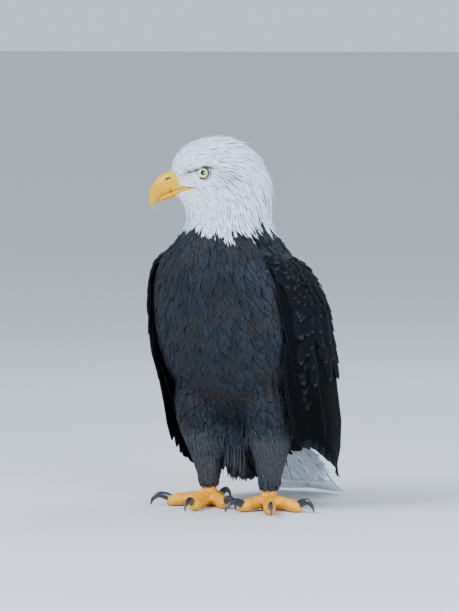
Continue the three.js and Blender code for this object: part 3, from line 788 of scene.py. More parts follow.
def hanging(roots, lengths, outs, lean):
    """Feathers that hang free of the body: straight lines, and not walks over its surface."""
    stations = np.array(SHAPES["tuft"][0])
    ways = lean + chance.normal(0, 0.08, (len(roots), 3)) * (1, 1, 0) - (0, 0, 1)
    lines = roots[:, None] + unit(ways)[:, None] * (lengths[:, None] * stations)[..., None]
    return lines, np.repeat(unit(outs)[:, None], len(stations), axis=1)


roots = scattered(outline_points, outline, 8000, vent, 3.2, 4.5)
lengths = np.maximum(roots[:, 2] - FRINGE_FOOT, 14) * chance.uniform(0.65, 1.0, len(roots))
outs = np.stack((roots[:, 0] / 40, np.sign(roots[:, 1] - STANCE_Y - 20), np.zeros(len(roots))), axis=-1)
lines, normals = hanging(roots, lengths, outs, np.array((0, 0.08, 0)))
piece = coat("vent_feathers", "tuft", lines, normals, chance.uniform(4, 7, len(roots)), each(1, roots),
             round_axis(roots), each(0.02, roots), columns=2, lift=0.5, roll=0.3, ragged=0.3)
finished(piece, PLUMAGE, "dark_plumage")

# %% Trouser fringe
TROUSER_FOOT = 26.0
LEG_HEARTS = {side: middle(f"shin_{side}") * np.array((1, 1, 0)) for side in SIDES}


def cuff(points):
    """The lowest part of the feathered legs."""
    return (on_leg(points) > 0.5) & (points[:, 2] > 35) & (points[:, 2] < 52)


roots = scattered(outline_points, outline, 8000, cuff, 1.8, 2.6)
hearts = np.where(roots[:, :1] > 0, LEG_HEARTS["left"], LEG_HEARTS["right"])
outs = (roots - hearts) * (1, 1, 0)
lengths = (roots[:, 2] - TROUSER_FOOT) * chance.uniform(0.6, 1.1, len(roots))
lines, normals = hanging(roots, lengths, outs, -unit(outs) * 0.25)
piece = coat("trouser_fringe", "tuft", lines, normals, chance.uniform(2.5, 4.5, len(roots)), each(1, roots),
             round_axis(roots), each(0.03, roots), columns=2, lift=0.4, roll=0.4, ragged=0.3)
finished(piece, TROUSERS, "dark_plumage")

# %% Undertail and rump
RUMP_END = outline_points[:, 1].max()


def white_rump(points):
    """The white behind the feet, but for the last of the outline, where feathers would fold over its end."""
    return (whiteness(points) > 0.5) & (points[:, 2] < 300) & (points[:, 1] < RUMP_END - 26)


roots = scattered(outline_points, outline, 20000, white_rump, 3, 7)
lengths = np.minimum(chance.uniform(32, 54, len(roots)), RUMP_END - 4 - roots[:, 1])
lines, normals = walked(roots, lengths, "tuft", outline_tree, turn=0.15)
piece = coat("tail_coverts", "tuft", lines, normals, each(9, roots), coat_depth(roots),
             round_axis(roots), each(1, roots), columns=4, lift=3.0, roll=0.15, ragged=0.15)
finished(piece, PLUMAGE, "white_plumage")

# %% [markdown]
# ## The folded wings
#
# A folded wing shows rows of coverts like roof tiles, then the long secondaries, and the primaries' tips
# under them. All hang from the wing's outer surface, so that surface is measured from the frame first: the
# distance from an upright axis for each angle and height. Feathers are placed by their tips, because the
# tips' even rows are what the eye sees, and each runs from its tip back up the lie to its root.

# %% The wing's outer surface
AXIS_Y = STANCE_Y + 20
ANGLES = np.radians(np.arange(-90, 97, 3.0))
LEVELS = np.arange(33, 400, 4.0)


def evened(grid, times):
    """A grid in which each value is drawn towards its four neighbours, so many times."""
    for _ in range(times):
        wide = np.pad(grid, 1, mode="edge")
        grid = (wide[:-2, 1:-1] + wide[2:, 1:-1] + wide[1:-1, :-2] + wide[1:-1, 2:] + 4 * grid) / 8
    return grid


def measured_wing(side):
    """The wing's radius for each level and angle, and where it is really there."""
    radius = np.full((len(LEVELS), len(ANGLES)), np.nan)
    for row, level in enumerate(LEVELS):
        for column, angle in enumerate(ANGLES):
            out = Vector((math.cos(angle) * SIDES[side], math.sin(angle), 0))
            axis = Vector((0, AXIS_Y, level))
            hit = wing_trees[side].ray_cast(axis + out * 300, -out, 290)[0]
            if hit is not None:
                radius[row, column] = (hit - axis).dot(out)
    there = ~np.isnan(radius)
    rows, columns = np.nonzero(there)
    for row, column in zip(*np.nonzero(~there)):
        near = ((rows - row) ** 2 * 1.5 + (columns - column) ** 2).argmin()
        radius[row, column] = radius[rows[near], columns[near]]
    return {"side": SIDES[side], "radius": evened(radius, 4), "there": there}


def wing_points(wing, angles, levels):
    """Places on the wing's outer surface."""
    column = np.clip((angles - ANGLES[0]) / (ANGLES[1] - ANGLES[0]), 0, len(ANGLES) - 1.001)
    row = np.clip((levels - LEVELS[0]) / (LEVELS[1] - LEVELS[0]), 0, len(LEVELS) - 1.001)
    i, j = row.astype(int), column.astype(int)
    u, v = row - i, column - j
    grid = wing["radius"]
    radius = ((grid[i, j] * (1 - u) + grid[i + 1, j] * u) * (1 - v)
              + (grid[i, j + 1] * (1 - u) + grid[i + 1, j + 1] * u) * v)
    x, y = radius * np.cos(angles) * wing["side"], AXIS_Y + radius * np.sin(angles)
    return np.stack((x, y, levels), axis=-1)


def on_wing(wing, points):
    """Angles and heights of places, and the same places moved onto the wing's surface."""
    angles = np.arctan2(points[:, 1] - AXIS_Y, points[:, 0] * wing["side"])
    return angles, points[:, 2], wing_points(wing, angles, points[:, 2])


def wing_normals(wing, angles, levels):
    """The way outward from the wing's surface, from places a little to each side."""
    small = 0.02
    run = wing_points(wing, angles + small, levels) - wing_points(wing, angles - small, levels)
    rise = wing_points(wing, angles, levels + 3) - wing_points(wing, angles, levels - 3)
    return unit(np.cross(run, rise) * wing["side"])


def wing_edges(wing):
    """The front and back edges, as angles for each level."""
    levels = [row for row in range(len(LEVELS)) if wing["there"][row].sum() > 1]
    front = np.array([ANGLES[np.nonzero(wing["there"][row])[0][0]] for row in levels])
    back = np.array([ANGLES[np.nonzero(wing["there"][row])[0][-1]] for row in levels])
    return LEVELS[levels], front, back


def hung(wing, tips, lengths, shape, sweep, tree=None):
    """Centre lines of feathers from their tips, (angle, level), back up to their roots."""
    stations = np.array(SHAPES[shape][0])
    place = wing_points(wing, tips[:, 0], tips[:, 1])
    lines = np.empty((len(tips), len(stations), 3))
    normals = np.empty_like(lines)
    way = unit(np.stack((np.zeros(len(tips)), sweep * np.ones(len(tips)), -np.ones(len(tips))), axis=-1))
    for k in range(len(stations) - 1, -1, -1):
        if tree:
            place, normal, _ = nearest(tree, place)
        else:
            angles, levels, place = on_wing(wing, place)
            normal = wing_normals(wing, angles, levels)
        lines[:, k], normals[:, k] = place, normal
        if k:
            run = unit(way - normal * np.sum(way * normal, axis=1, keepdims=True))
            place = place - run * (lengths * (stations[k] - stations[k - 1]))[:, None]
    return lines, normals


wings = {side: measured_wing(side) for side in SIDES}
for side, wing in wings.items():
    print("wing", side, "covers", int(wing["there"].sum()), "of", wing["there"].size, "samples")

# %% Body and wings as one outline, for the feathers that lie over both
cover = moulded(
    (merged(*BODY), merged(*WING_NODES["left"], *WING_NODES["right"])),
    ("DISPLACE", dict(strength=GROWTH * MM, mid_level=0)),
    ("REMESH", dict(mode="VOXEL", voxel_size=BODY_CUBE * MM)),
    ("SMOOTH", dict(factor=0.5, iterations=10)),
    ("DISPLACE", dict(strength=-GROWTH * MM, mid_level=0)),
    ("SMOOTH", dict(factor=0.5, iterations=6)),
)
cover_points = places(cover)
cover_tree = surface(cover_points, cover)

# %% Flight feathers
SWEEP = 0.35
SECONDARIES, PRIMARIES, TERTIALS = 15, 6, 8
# The lowest tips: degrees round the wing, and height.
TIPS = ((-14, -12, 0, 8, 16, 26, 40, 60), (300, 92, 86, 74, 62, 48, 38, 35))
FRONT_TOP = 208.0  # how high the tips reach up the wing's front edge
# The inner feathers' tips take up a share of the back edge between two heights.
INNER_FOOT, INNER_TOP, INNER_SHARE = 62.0, 215.0, (0.02, 0.5)
FLARE = 10.0  # how far the long feathers' tips stand out from the wing's surface
QUILL_ROOTS = 250.0  # all of them reach up under the coverts, to this height at least


def along_edge(angles, levels, wing, count, start=0.0, end=1.0):
    """Evenly spaced places along an edge of the wing."""
    points = wing_points(wing, angles, levels)
    run = np.concatenate(((0,), np.cumsum(np.linalg.norm(np.diff(points, axis=0), axis=1))))
    order = np.arange(len(run))
    spots = np.interp(np.linspace(start, end, count) * run[-1], run, order)
    return np.stack((np.interp(spots, order, angles), np.interp(spots, order, levels)), axis=-1)


def flight_feathers(side):
    """Tips along the front edge and the hem, then the inner feathers' tips up the back edge."""
    wing = wings[side]
    levels, front, back = wing_edges(wing)
    low = levels < FRONT_TOP
    hem = along_edge(front[low][::-1], levels[low][::-1], wing, SECONDARIES + PRIMARIES)
    rear = (levels < INNER_TOP) & (levels > INNER_FOOT)
    inner = along_edge(back[rear], levels[rear], wing, TERTIALS, *INNER_SHARE)
    hem[:, 1] = np.minimum(hem[:, 1], np.interp(np.degrees(hem[:, 0]), *TIPS))
    tips = np.concatenate((hem, inner))
    count = len(tips)
    order = np.arange(count)
    primary = (order >= SECONDARIES) & (order < SECONDARIES + PRIMARIES)
    tertial = order >= SECONDARIES + PRIMARIES
    lengths = np.where(primary, 180.0, np.where(tertial, 110.0, 150.0))
    lengths = np.where(tertial, lengths, np.maximum(lengths, (QUILL_ROOTS - tips[:, 1]) * 1.06))
    widths = np.where(primary, 26.0, np.where(tertial, 34.0, 32.0))
    lines, normals = hung(wing, tips, lengths, "quill", SWEEP * np.where(tertial, 0.7, 1.0))
    out = lines - (0, AXIS_Y, 0)
    out[..., 2] = 0
    lines = lines + unit(out) * (FLARE * ease(-lines[..., 2], -190, -60))[..., None]
    lower = np.where(primary, 2.4, 1.0) - 0.35 * (order % 2)
    lower[tertial] = 2.2 - 0.22 * np.arange(TERTIALS)
    lines = lines - normals * lower[:, None, None]
    depth = np.where(primary, 1.5, np.where(tertial, 8.0, 2.5))
    piece = coat(f"flight_feathers_{side}", "quill", lines, normals, widths, depth, wing_home(tips),
                 each(0, tips), columns=8, lift=0.3, roll=0.05, cup=0.12, ragged=0.02, thick=0.7)
    return finished(piece, QUILLS, "dark_plumage", f"wing_{side}_secondaries", f"wing_{side}_primaries")


def wing_home(tips):
    """A root's place on an unwrap of the wing: angle and height."""
    share = (tips[:, 0] - ANGLES[0]) / (ANGLES[-1] - ANGLES[0])
    return np.stack((share, tips[:, 1] / 400), axis=-1) * 0.96 + 0.02


for side in SIDES:
    flight_feathers(side)

# %% Coverts
COVERT_ROWS = (0.60, 0.505, 0.425, 0.355, 0.295, 0.24, 0.19, 0.145, 0.105, 0.07, 0.04, 0.015)
COVERT_LENGTHS = ((0, 0.2, 0.6), (22, 36, 74))  # rows' shares of the way down, and lengths
COVERT_WIDTHS = ((0, 0.2, 0.6), (12, 18, 26))
COVERT_RUN = 200.0  # how long a row is taken to be, to count its feathers
# How low the coverts reach: degrees round the wing, and height.
COVERT_FOOT = ((-54, -30, -20, 0, 30, 50, 66, 75), (225, 165, 172, 188, 182, 205, 240, 280))


def coverts(side):
    """Rows of coverts, each row a share of the way from the wing's top edge to its lowest coverts."""
    wing = wings[side]
    columns = [(angle, LEVELS[there]) for angle, there in zip(ANGLES, wing["there"].T)]
    columns = [(angle, levels[-1], levels[0]) for angle, levels in columns if len(levels) > 2]
    angles, tops, hems = np.array(columns).T
    tops = evened(tops[None], 3)[0]
    bottoms = np.maximum(np.interp(angles, np.radians(COVERT_FOOT[0]), COVERT_FOOT[1]), hems + 4)
    rows = []
    for share in COVERT_ROWS:
        length, width = np.interp(share, *COVERT_LENGTHS), np.interp(share, *COVERT_WIDTHS)
        height = tops + (bottoms - tops) * share / COVERT_ROWS[0]
        count = max(int(COVERT_RUN / (0.62 * width)), 4)
        spots = along_edge(angles, height, wing, count, 0.0, 0.86 if share > 0.4 else 1.0)
        spots[:, 0] += chance.normal(0, 0.012, len(spots))
        spots[:, 1] += chance.normal(0, 1.6, len(spots))
        room = np.interp(spots[:, 0], angles, tops) - spots[:, 1]
        lengths = np.minimum(length * chance.uniform(0.92, 1.08, len(spots)), room + 16)
        tree = cover_tree if share < 0.5 else None
        lines, normals = hung(wing, spots, lengths, "shield", SWEEP * 0.8, tree)
        rows.append((lines, normals, each(width, spots), spots))
    lines, normals, widths, tips = (np.concatenate(kind) for kind in zip(*rows))
    piece = coat(f"wing_coverts_{side}", "shield", lines, normals, widths, each(5, tips), wing_home(tips),
                 each(0, tips), columns=6, lift=0.6, roll=0.08, ragged=0.05, thick=0.5)
    return finished(piece, COVERTS, "dark_plumage", f"wing_{side}_coverts")


for side in SIDES:
    coverts(side)


# %% Mantle and scapulars
MANTLE_START = ((110, 200, 300, 380), (1.1, 0.9, 0.5, 0.1))  # heights, and how far round the mantle begins
MANTLE_FOOT, MANTLE_TOP = 96, 415
MANTLE_WIDTHS = ((110, 300, 400), (24, 28, 16))


def on_mantle(points):
    """The back between the wings, with the wings' inner edges."""
    angles = np.arctan2(points[:, 1] - AXIS_Y, np.abs(points[:, 0]))
    height = points[:, 2]
    round_back = angles > np.interp(height, *MANTLE_START)
    return round_back & (height > MANTLE_FOOT) & (height < MANTLE_TOP) & (whiteness(points) < 0.5)


roots = scattered(cover_points, cover, 14000, on_mantle, 10, 13)
widths = np.interp(roots[:, 2], *MANTLE_WIDTHS)
lengths = widths * 2.1 * chance.uniform(0.9, 1.1, len(roots))
lines, normals = walked(roots, lengths, "shield", cover_tree, turn=0.08)
piece = coat("mantle_feathers", "shield", lines, normals, widths, each(7, roots),
             round_axis(roots), each(0, roots), columns=6, lift=1.2, roll=0.08, ragged=0.06)
finished(piece, PLUMAGE, "dark_plumage")

# %% Wing cores
CORE_DEPTH, CORE_THICKNESS = 6.0, 2.0
CORE_FOOT, CORE_TOP = 84, 340


def wing_core(side):
    """A thin plate inside the folded wing, so that no light shows between its feathers."""
    wing = wings[side]
    there = wing["there"].copy()
    there[1:-1] &= there[2:] & there[:-2]
    there[(LEVELS < CORE_FOOT) | (LEVELS > CORE_TOP)] = False
    shape = bmesh.new()
    columns, rows = len(ANGLES) - 1, len(LEVELS) - 1
    inside = evened(wing["radius"], 6) - CORE_DEPTH
    bmesh.ops.create_grid(shape, x_segments=columns, y_segments=rows, size=0.5)
    outside = []
    for vert in shape.verts:
        column, row = round((vert.co.x + 0.5) * columns), round((vert.co.y + 0.5) * rows)
        angle, radius = ANGLES[column], inside[row, column]
        x, y = radius * math.cos(angle) * wing["side"], AXIS_Y + radius * math.sin(angle)
        vert.co = Vector((x, y, LEVELS[row])) * MM
        if not there[row, column]:
            outside.append(vert)
    bmesh.ops.delete(shape, geom=outside, context="VERTS")
    bmesh.ops.recalc_face_normals(shape, faces=shape.faces)
    bmesh.ops.solidify(shape, geom=shape.faces, thickness=CORE_THICKNESS * MM)
    bmesh.ops.recalc_face_normals(shape, faces=shape.faces)
    mesh = bpy.data.meshes.new("wing_core")
    shape.to_mesh(mesh)
    shape.free()
    return mesh


# %% [markdown]
# ## The tail
#
# Twelve white tail feathers lie one over the other, the middle pair on top, and fan out a little.

# %% Tail feathers
TAIL_START, TAIL_END = 100.0, 224.0
PAIRS = 6


def tail_feathers():
    """Pairs of feathers laid on the frame's tail from the outermost to the middle pair."""
    tail_tree = tree_of("tail")
    stations = np.array(SHAPES["quill"][0])
    lines = []
    for pair in range(PAIRS - 1, -1, -1):
        share = pair / (PAIRS - 1)
        for sign in (-1, 1):
            root = np.array((sign * (4 + 16 * share), STANCE_Y + TAIL_START))
            tip = np.array((sign * (6 + 51 * share), STANCE_Y + TAIL_END - 10 * share**2))
            path = root + (tip - root) * stations[:, None]
            heights = []
            for x, y in path:
                above = Vector((x * 0.96, min(y, STANCE_Y + TAIL_END - 6), 300))
                hit = tail_tree.ray_cast(above, Vector((0, 0, -1)))[0]
                heights.append(hit.z if hit is not None else heights[-1])
            lines.append(np.column_stack((path, np.array(heights) - 0.6 - 0.7 * pair)))
    lines = np.array(lines)
    lines[:, :, 2] = np.maximum(lines[:, :, 2], 1.2)
    along = unit(np.gradient(lines, axis=1))
    normals = unit(np.cross(np.cross(along, (0, 0, 1.0)), along))
    count = len(lines)
    home = np.stack((lines[:, 0, 0] / 60 * 0.4 + 0.5, np.linspace(0.2, 0.8, count)), axis=-1)
    piece = coat("tail_feathers", "quill", lines, normals, np.full(count, 29.0), np.full(count, 0.5), home,
                 np.ones(count), columns=8, lift=0.0, roll=0.02, cup=0.06, ragged=0.03, thick=0.8)
    return finished(piece, PLUMAGE, "white_plumage", "tail")


tail_feathers()

# %% [markdown]
# ## Skin
#
# The skin shows between the feathers of the face, round the eyes and on the feet. It follows the outline at
# the depth of the coat. Round each eye it becomes two lids: inside the opening the skin dives under the
# eyeball, and at the rim it rises just over it. No hole has to be cut.

# %% Skin with lids
LID_OPENING, LID_RIM, LID_REACH = 7.7, 12.5, 15.5
FROWN = 6.3  # how far above the eye's middle the brow's edge cuts across it
RIM_DEPTH = 7.0  # how far the shoulders' rim lies under the wings' surface


def lid_opening(ahead, above):
    """The opening's half width in each direction: longer at the front corner, flatter under the brow."""
    turn = np.arctan2(above, ahead)
    almond = LID_OPENING + 2.6 * np.exp(-(((turn + 0.12) / 0.4) ** 2))
    frown = FROWN / np.maximum(np.sin(turn) + 0.16 * np.cos(turn), 0.05)
    return np.minimum(almond, frown)


def with_lids(points):
    """The skin pressed under each eyeball inside the opening, and lifted just over it at the rim."""
    for side, sign in SIDES.items():
        offset = points - EYE[side]
        ahead, left, above = on_head(points).T
        off = np.hypot(ahead, above)
        opening = lid_opening(ahead, above)
        length = np.linalg.norm(offset, axis=1)
        near = (left * sign > 6) & (off < LID_REACH)
        inner = EYE_RADIUS - 1.4 + (LID_RIM - EYE_RADIUS + 1.4) * ease(off - opening, -0.9, 0.3)
        outer = inner + (length - inner) * ease(off - opening, 1.6, LID_REACH - LID_OPENING)
        share = np.where(near, 1.0, 0.0)
        points = points + unit(offset) * ((outer - length) * share)[:, None]
    return points


def tucked(points):
    """The lower rim of the shoulders' part, drawn in under the wings' coverts."""
    points = points.copy()
    for side, wing in wings.items():
        _, levels, covering = on_wing(wing, points)
        room = np.hypot(covering[:, 0], covering[:, 1] - AXIS_Y) - RIM_DEPTH
        radius = np.hypot(points[:, 0], points[:, 1] - AXIS_Y)
        near = (levels > SHOULDER_FOOT - 12) & (levels < SHOULDER_FOOT + 40)
        near &= (points[:, 0] * SIDES[side] > 0) & (radius > room) & (radius < room + 30)
        points[near, 0] *= (room / radius)[near]
        points[near, 1] = AXIS_Y + (points[near, 1] - AXIS_Y) * (room / radius)[near]
    return points


skin_mesh = outline.copy()
skin_points = tucked(with_lids(skin_points))
move_to(skin_mesh, skin_points)

# %% [markdown]
# ## Bill
#
# The bill is horn over bone: a deep upper half with a long hook, a slim lower half, and a waxy yellow cere
# at the root, where the slit of the nostril opens. Each half is lofted from circles pressed into the bill's
# section, set across a smooth curve, and closed by bridging them. On each side two yellow lips run back from
# the bill to the corner of the mouth, under the eye. The nostril and the line between the jaws are painted
# dark, as painted shade.

# %% Lofts
def through(rows, count):
    """A Catmull-Rom curve through rows of numbers, as count rows."""
    rows = np.array(rows, float)
    padded = np.vstack((2 * rows[0] - rows[1], rows, 2 * rows[-1] - rows[-2]))
    made = []
    for spot in np.linspace(0, len(rows) - 1, count):
        i = min(int(spot), len(rows) - 2)
        t = spot - i
        a, b, c, d = padded[i:i + 4]
        bend, twist = (2 * a - 5 * b + 4 * c - d) * t**2, (3 * b - a - 3 * c + d) * t**3
        made.append(0.5 * (2 * b + (c - a) * t + bend + twist))
    return np.array(made)


def lofted(rings):
    """A bmesh skin over rings of places, in millimetres, closed at both ends."""
    shape = bmesh.new()
    hoops = []
    for ring in rings:
        verts = bmesh.ops.create_circle(shape, segments=len(ring), radius=1)["verts"]
        for vert, place in zip(verts, ring):
            vert.co = Vector(place) * MM
        hoops.append({edge for vert in verts for edge in vert.link_edges})
    for first, second in zip(hoops, hoops[1:]):
        bmesh.ops.bridge_loops(shape, edges=list(first | second))
    bmesh.ops.holes_fill(shape, edges=[edge for edge in shape.edges if edge.is_boundary])
    bmesh.ops.recalc_face_normals(shape, faces=shape.faces)
    return shape


def piece_from(name, shape, smooth=0):
    """An object from a bmesh, with a smoothing subdivision where it is asked for."""
    mesh = bpy.data.meshes.new(name)
    shape.to_mesh(mesh)
    shape.free()
    mesh.polygons.foreach_set("use_smooth", np.ones(len(mesh.polygons), bool))
    piece = placed(name, mesh)
    if smooth:
        finer = piece.modifiers.new("finer", "SUBSURF")
        finer.levels = finer.render_levels = smooth
    return piece


# %% Bill halves
# Ahead of and above the eyes, half height and half width.
UPPER_BILL = ((30, -10.5, 13.5, 12.5), (37, -11.5, 15, 13.5), (50, -15.3, 15.6, 12.4), (61, -22.1, 12.7, 10),
              (69, -32.5, 9, 7.2), (73, -43, 4.3, 4.2), (72.2, -49.5, 2.3, 2.2), (70, -55, 0.7, 0.7))
LOWER_BILL = ((30, -27, 5.5, 11), (37, -29, 6, 11.5), (49, -32.6, 5.4, 9.8), (59, -37.6, 4, 7),
              (65, -41.4, 1.4, 3))
BILL_SEGMENTS = 32


def bill_rings(rows, count, top, bottom):
    """Rings across a curve in the head's middle plane. Top and bottom are how square each half is."""
    rows = through(rows, count)
    headings = unit(np.gradient(rows[:, :2], axis=0))
    rings = []
    for (ahead, above, high, wide), (run, rise) in zip(rows, headings):
        ring = []
        for turn in np.linspace(0, 2 * math.pi, BILL_SEGMENTS, endpoint=False):
            s, c = math.sin(turn), math.cos(turn)
            tall = high * (abs(s) ** top if s > 0 else -(abs(s) ** bottom))
            broad = wide * c * (1 - 0.14 * max(-s, 0))
            ring.append(head_point(ahead - rise * tall, broad, above + run * tall))
        rings.append(ring)
    return rings


upper_shape = lofted(bill_rings(UPPER_BILL, 26, 1.0, 0.62))
bmesh.ops.subdivide_edges(upper_shape, edges=upper_shape.edges, cuts=1, use_grid_fill=True)
NOSTRIL = np.array((49.5, -8.6))
NOSTRIL_SLOPE = math.radians(-16)
SEAM = ((-1, 12, 26, 37, 44, 50), (-20.5, -20.6, -21.8, -24.1, -26.4, -29.4))  # the line of the closed mouth


def seam_shade(ahead, above):
    """1 in the painted shade of the line between the jaws, and 0 off it."""
    if not SEAM[0][0] < ahead < SEAM[0][-1]:
        return 0.0
    return math.exp(-(((above - float(np.interp(ahead, *SEAM))) / 0.55) ** 2))


# The nostril's dent and the line between the jaws are painted dark: painted shade.
slit_shade = upper_shape.verts.layers.float.new("slit_shade")
for vert in upper_shape.verts:
    ahead, left, above = on_head(np.array(vert.co) / MM)
    run = (ahead - NOSTRIL[0]) * math.cos(NOSTRIL_SLOPE) + (above - NOSTRIL[1]) * math.sin(NOSTRIL_SLOPE)
    off = -(ahead - NOSTRIL[0]) * math.sin(NOSTRIL_SLOPE) + (above - NOSTRIL[1]) * math.cos(NOSTRIL_SLOPE)
    dent = 2.2 * math.exp(-((run / 4.0) ** 4) - (off / 1.3) ** 2)
    cere = 0.45 * (1 - min(max((ahead - 48 - 0.25 * (above + 12)) / 2.0, 0), 1)) if ahead > 34 else 0.0
    vert[slit_shade] = max(min(dent / 0.9, 1), seam_shade(ahead, above)) if abs(left) > 2 else 0
    if abs(left) > 2:
        vert.co += Vector(LEFT * math.copysign(1, left) * (cere - dent)) * MM
upper_bill = piece_from("bill_upper_horn", upper_shape, 1)
lower_bill = piece_from("bill_lower_horn", lofted(bill_rings(LOWER_BILL, 16, 1.6, 1.0)), 1)


# %% Lips
# Ahead of the eyes, above them, half height and half thickness, from the bill to the corner of the mouth.
LIPS = {
    "upper": ((44, -21.5, 6.2, 2.4), (37, -19.8, 4.8, 2.2), (26, -18.8, 3.2, 1.7), (12, -19.0, 1.9, 1.2),
              (-1, -20.2, 0.5, 0.4)),
    "lower": ((44, -28.9, 3.8, 2.2), (37, -26.8, 3.3, 2.0), (26, -24.0, 2.4, 1.6), (12, -21.8, 1.5, 1.1),
              (-1, -20.9, 0.5, 0.4)),
}
LIP_OUT, LIP_SEGMENTS = 10.5, 24
skin_tree = surface(skin_points, skin_mesh)


def lip_rings(side, rows):
    """Rings of one lip, laid on the skin of its side."""
    rings = []
    for ahead, above, high, thick in through(rows, 20):
        start = head_point(ahead, SIDES[side] * 60, above)
        hit = skin_tree.ray_cast(Vector(start), Vector(-LEFT * SIDES[side]))[0]
        out = on_head(np.array(hit))[1] * SIDES[side] if hit is not None else 12
        rings.append((ahead, above, high, thick, max(out, LIP_OUT)))
    rings = np.array(rings)
    rings[:, 4] = np.convolve(np.pad(rings[:, 4], 2, mode="edge"), np.ones(5) / 5, mode="valid")
    turns = np.linspace(0, 2 * math.pi, LIP_SEGMENTS, endpoint=False)
    return [[head_point(ahead, SIDES[side] * (out - 0.4 * thick + thick * math.cos(turn)),
                        above + high * math.sin(turn)) for turn in turns]
            for ahead, above, high, thick, out in rings]


def lip_piece(side, row):
    shape = lofted(lip_rings(side, LIPS[row]))
    # The line between the jaws is painted dark: painted shade.
    slit_shade = shape.verts.layers.float.new("slit_shade")
    for vert in shape.verts:
        ahead, _, above = on_head(np.array(vert.co) / MM)
        vert[slit_shade] = seam_shade(ahead, above)
    return piece_from(f"lip_{row}_{side}", shape, 1)


lip_pieces = [lip_piece(side, row) for side in SIDES for row in LIPS]

# %% [markdown]
# ## Eyes
#
# Each eye is one glazed ball with a low dome for the cornea. The iris is pale cream, with fine darker rays
# and a dark edge, round a black pupil. Distance from the eye's axis is kept as a mark on the mesh, and the
# material paints from it.

# %% Eyeballs
IRIS, PUPIL, CORNEA_RISE = 7.8, 3.7, 1.1


def eyeball(side):
    """A ball with the cornea's dome, turned to look outward, and each point's distance from its axis."""
    gaze = unit(LEFT * SIDES[side] - AHEAD * 0.05 + UP * 0.06)
    shape = bmesh.new()
    bmesh.ops.create_uvsphere(shape, u_segments=64, v_segments=48, radius=EYE_RADIUS * MM)
    turn = Vector((0, 0, 1)).rotation_difference(Vector(gaze)).to_matrix()
    offs = []
    for vert in shape.verts:
        off = math.hypot(vert.co.x, vert.co.y) / MM if vert.co.z > 0 else 99
        offs.append(off)
        dome = CORNEA_RISE * max(0.0, 1 - (off / 8.2) ** 2)
        vert.co += vert.co.normalized() * dome * MM
        vert.co = turn @ vert.co + Vector(EYE[side]) * MM
    piece = piece_from(f"eyeball_{side}", shape)
    mark(piece.data, "off_axis", offs)
    return piece


eyeballs = {side: eyeball(side) for side in SIDES}


# %% Horn, lips and eye glaze
def horn(name, cere, body, tip, roughness):
    """Bill horn: yellow, with fine growth lines across it and a paler, clearer tip."""
    made, tree, shader = material(name)
    place = add(tree, "ShaderNodeTexCoord", output=3)
    height = add(tree, "ShaderNodeSeparateXYZ", {0: place}, 2)
    blush = add(tree, "ShaderNodeTexNoise", {"Vector": place, "Scale": 60.0, "Detail": 3.0})
    grain = add(tree, "ShaderNodeTexNoise", {"Vector": place, "Scale": 420.0, "Detail": 3.0})
    tint = colour(tip)
    for source, start, end, most, paint in (
        (height, 0.430, 0.460, 1.0, body),
        (height, 0.470, 0.482, 1.0, cere),
        (blush, 0.45, 0.7, 0.5, "#d07c00"),
        (grain, 0.35, 0.65, 0.12, "#a87410"),
    ):
        share = add(tree, "ShaderNodeMapRange", {0: source, 1: start, 2: end, 4: most}, **SMOOTH)
        tint = add(tree, "ShaderNodeMix", {0: share, 6: tint, 7: colour(paint)}, **BLEND)
    # Near black in the nostril and between the jaws: painted shade.
    slit_shade = add(tree, "ShaderNodeAttribute", attribute_name="slit_shade")
    tint = add(tree, "ShaderNodeMix", {0: slit_shade, 6: tint, 7: colour("#1c1408")}, **BLEND)
    tree.links.new(tint, shader.inputs["Base Color"])
    ridges = add(tree, "ShaderNodeBump", {"Height": grain, "Strength": 0.18, "Distance": 0.0004})
    tree.links.new(ridges, shader.inputs["Normal"])
    shader.inputs["Roughness"].default_value = roughness
    shader.inputs["IOR"].default_value = 1.54
    shader.inputs["Specular IOR Level"].default_value = 0.25
    return made


BILL_HORN = horn("bill_horn", "#d0a000", "#cc9a00", "#c49a30", 0.36)
LIP_SKIN = horn("gape_skin", "#d6a800", "#d0a000", "#c09620", 0.45)
finished(upper_bill, BILL_HORN, "bill_horn", "bill_upper")
finished(lower_bill, BILL_HORN, "bill_horn", "bill_lower")
for piece in lip_pieces:
    finished(piece, LIP_SKIN, "bill_horn")


def glaze(name):
    """A wet eye: pale cream with finer rays, under a clear coat that gives it its sharp highlight."""
    made, tree, shader = material(name)
    off = add(tree, "ShaderNodeAttribute", attribute_name="off_axis")
    place = add(tree, "ShaderNodeTexCoord", output=3)
    rays = add(tree, "ShaderNodeTexNoise", {"Vector": place, "Scale": 900.0, "Detail": 2.0})
    iris = colour("#efe9b4")
    for source, start, end, most, paint in (
        (off, PUPIL, IRIS - 1.2, 1.0, "#dcd58c"),  # deeper yellow outward
        (rays, 0.4, 0.7, 0.35, "#a9a05a"),
        (off, IRIS - 1.1, IRIS - 0.2, 1.0, "#3c3a1c"),  # the iris's dark edge
        (off, PUPIL + 0.15, PUPIL - 0.15, 1.0, "#06080c"),
        (off, IRIS - 0.1, IRIS + 0.3, 1.0, "#15161a"),  # under the lids
    ):
        share = add(tree, "ShaderNodeMapRange", {0: source, 1: start, 2: end, 4: most}, **SMOOTH)
        iris = add(tree, "ShaderNodeMix", {0: share, 6: iris, 7: colour(paint)}, **BLEND)
    tree.links.new(iris, shader.inputs["Base Color"])
    shader.inputs["Roughness"].default_value = 0.25
    shader.inputs["IOR"].default_value = 1.38
    shader.inputs["Coat Weight"].default_value = 1.0
    shader.inputs["Coat Roughness"].default_value = 0.03
    return made


EYE_GLAZE = glaze("eye_glaze")
for side, ball in eyeballs.items():
    finished(ball, EYE_GLAZE, "eye_glaze", f"eye_{side}")

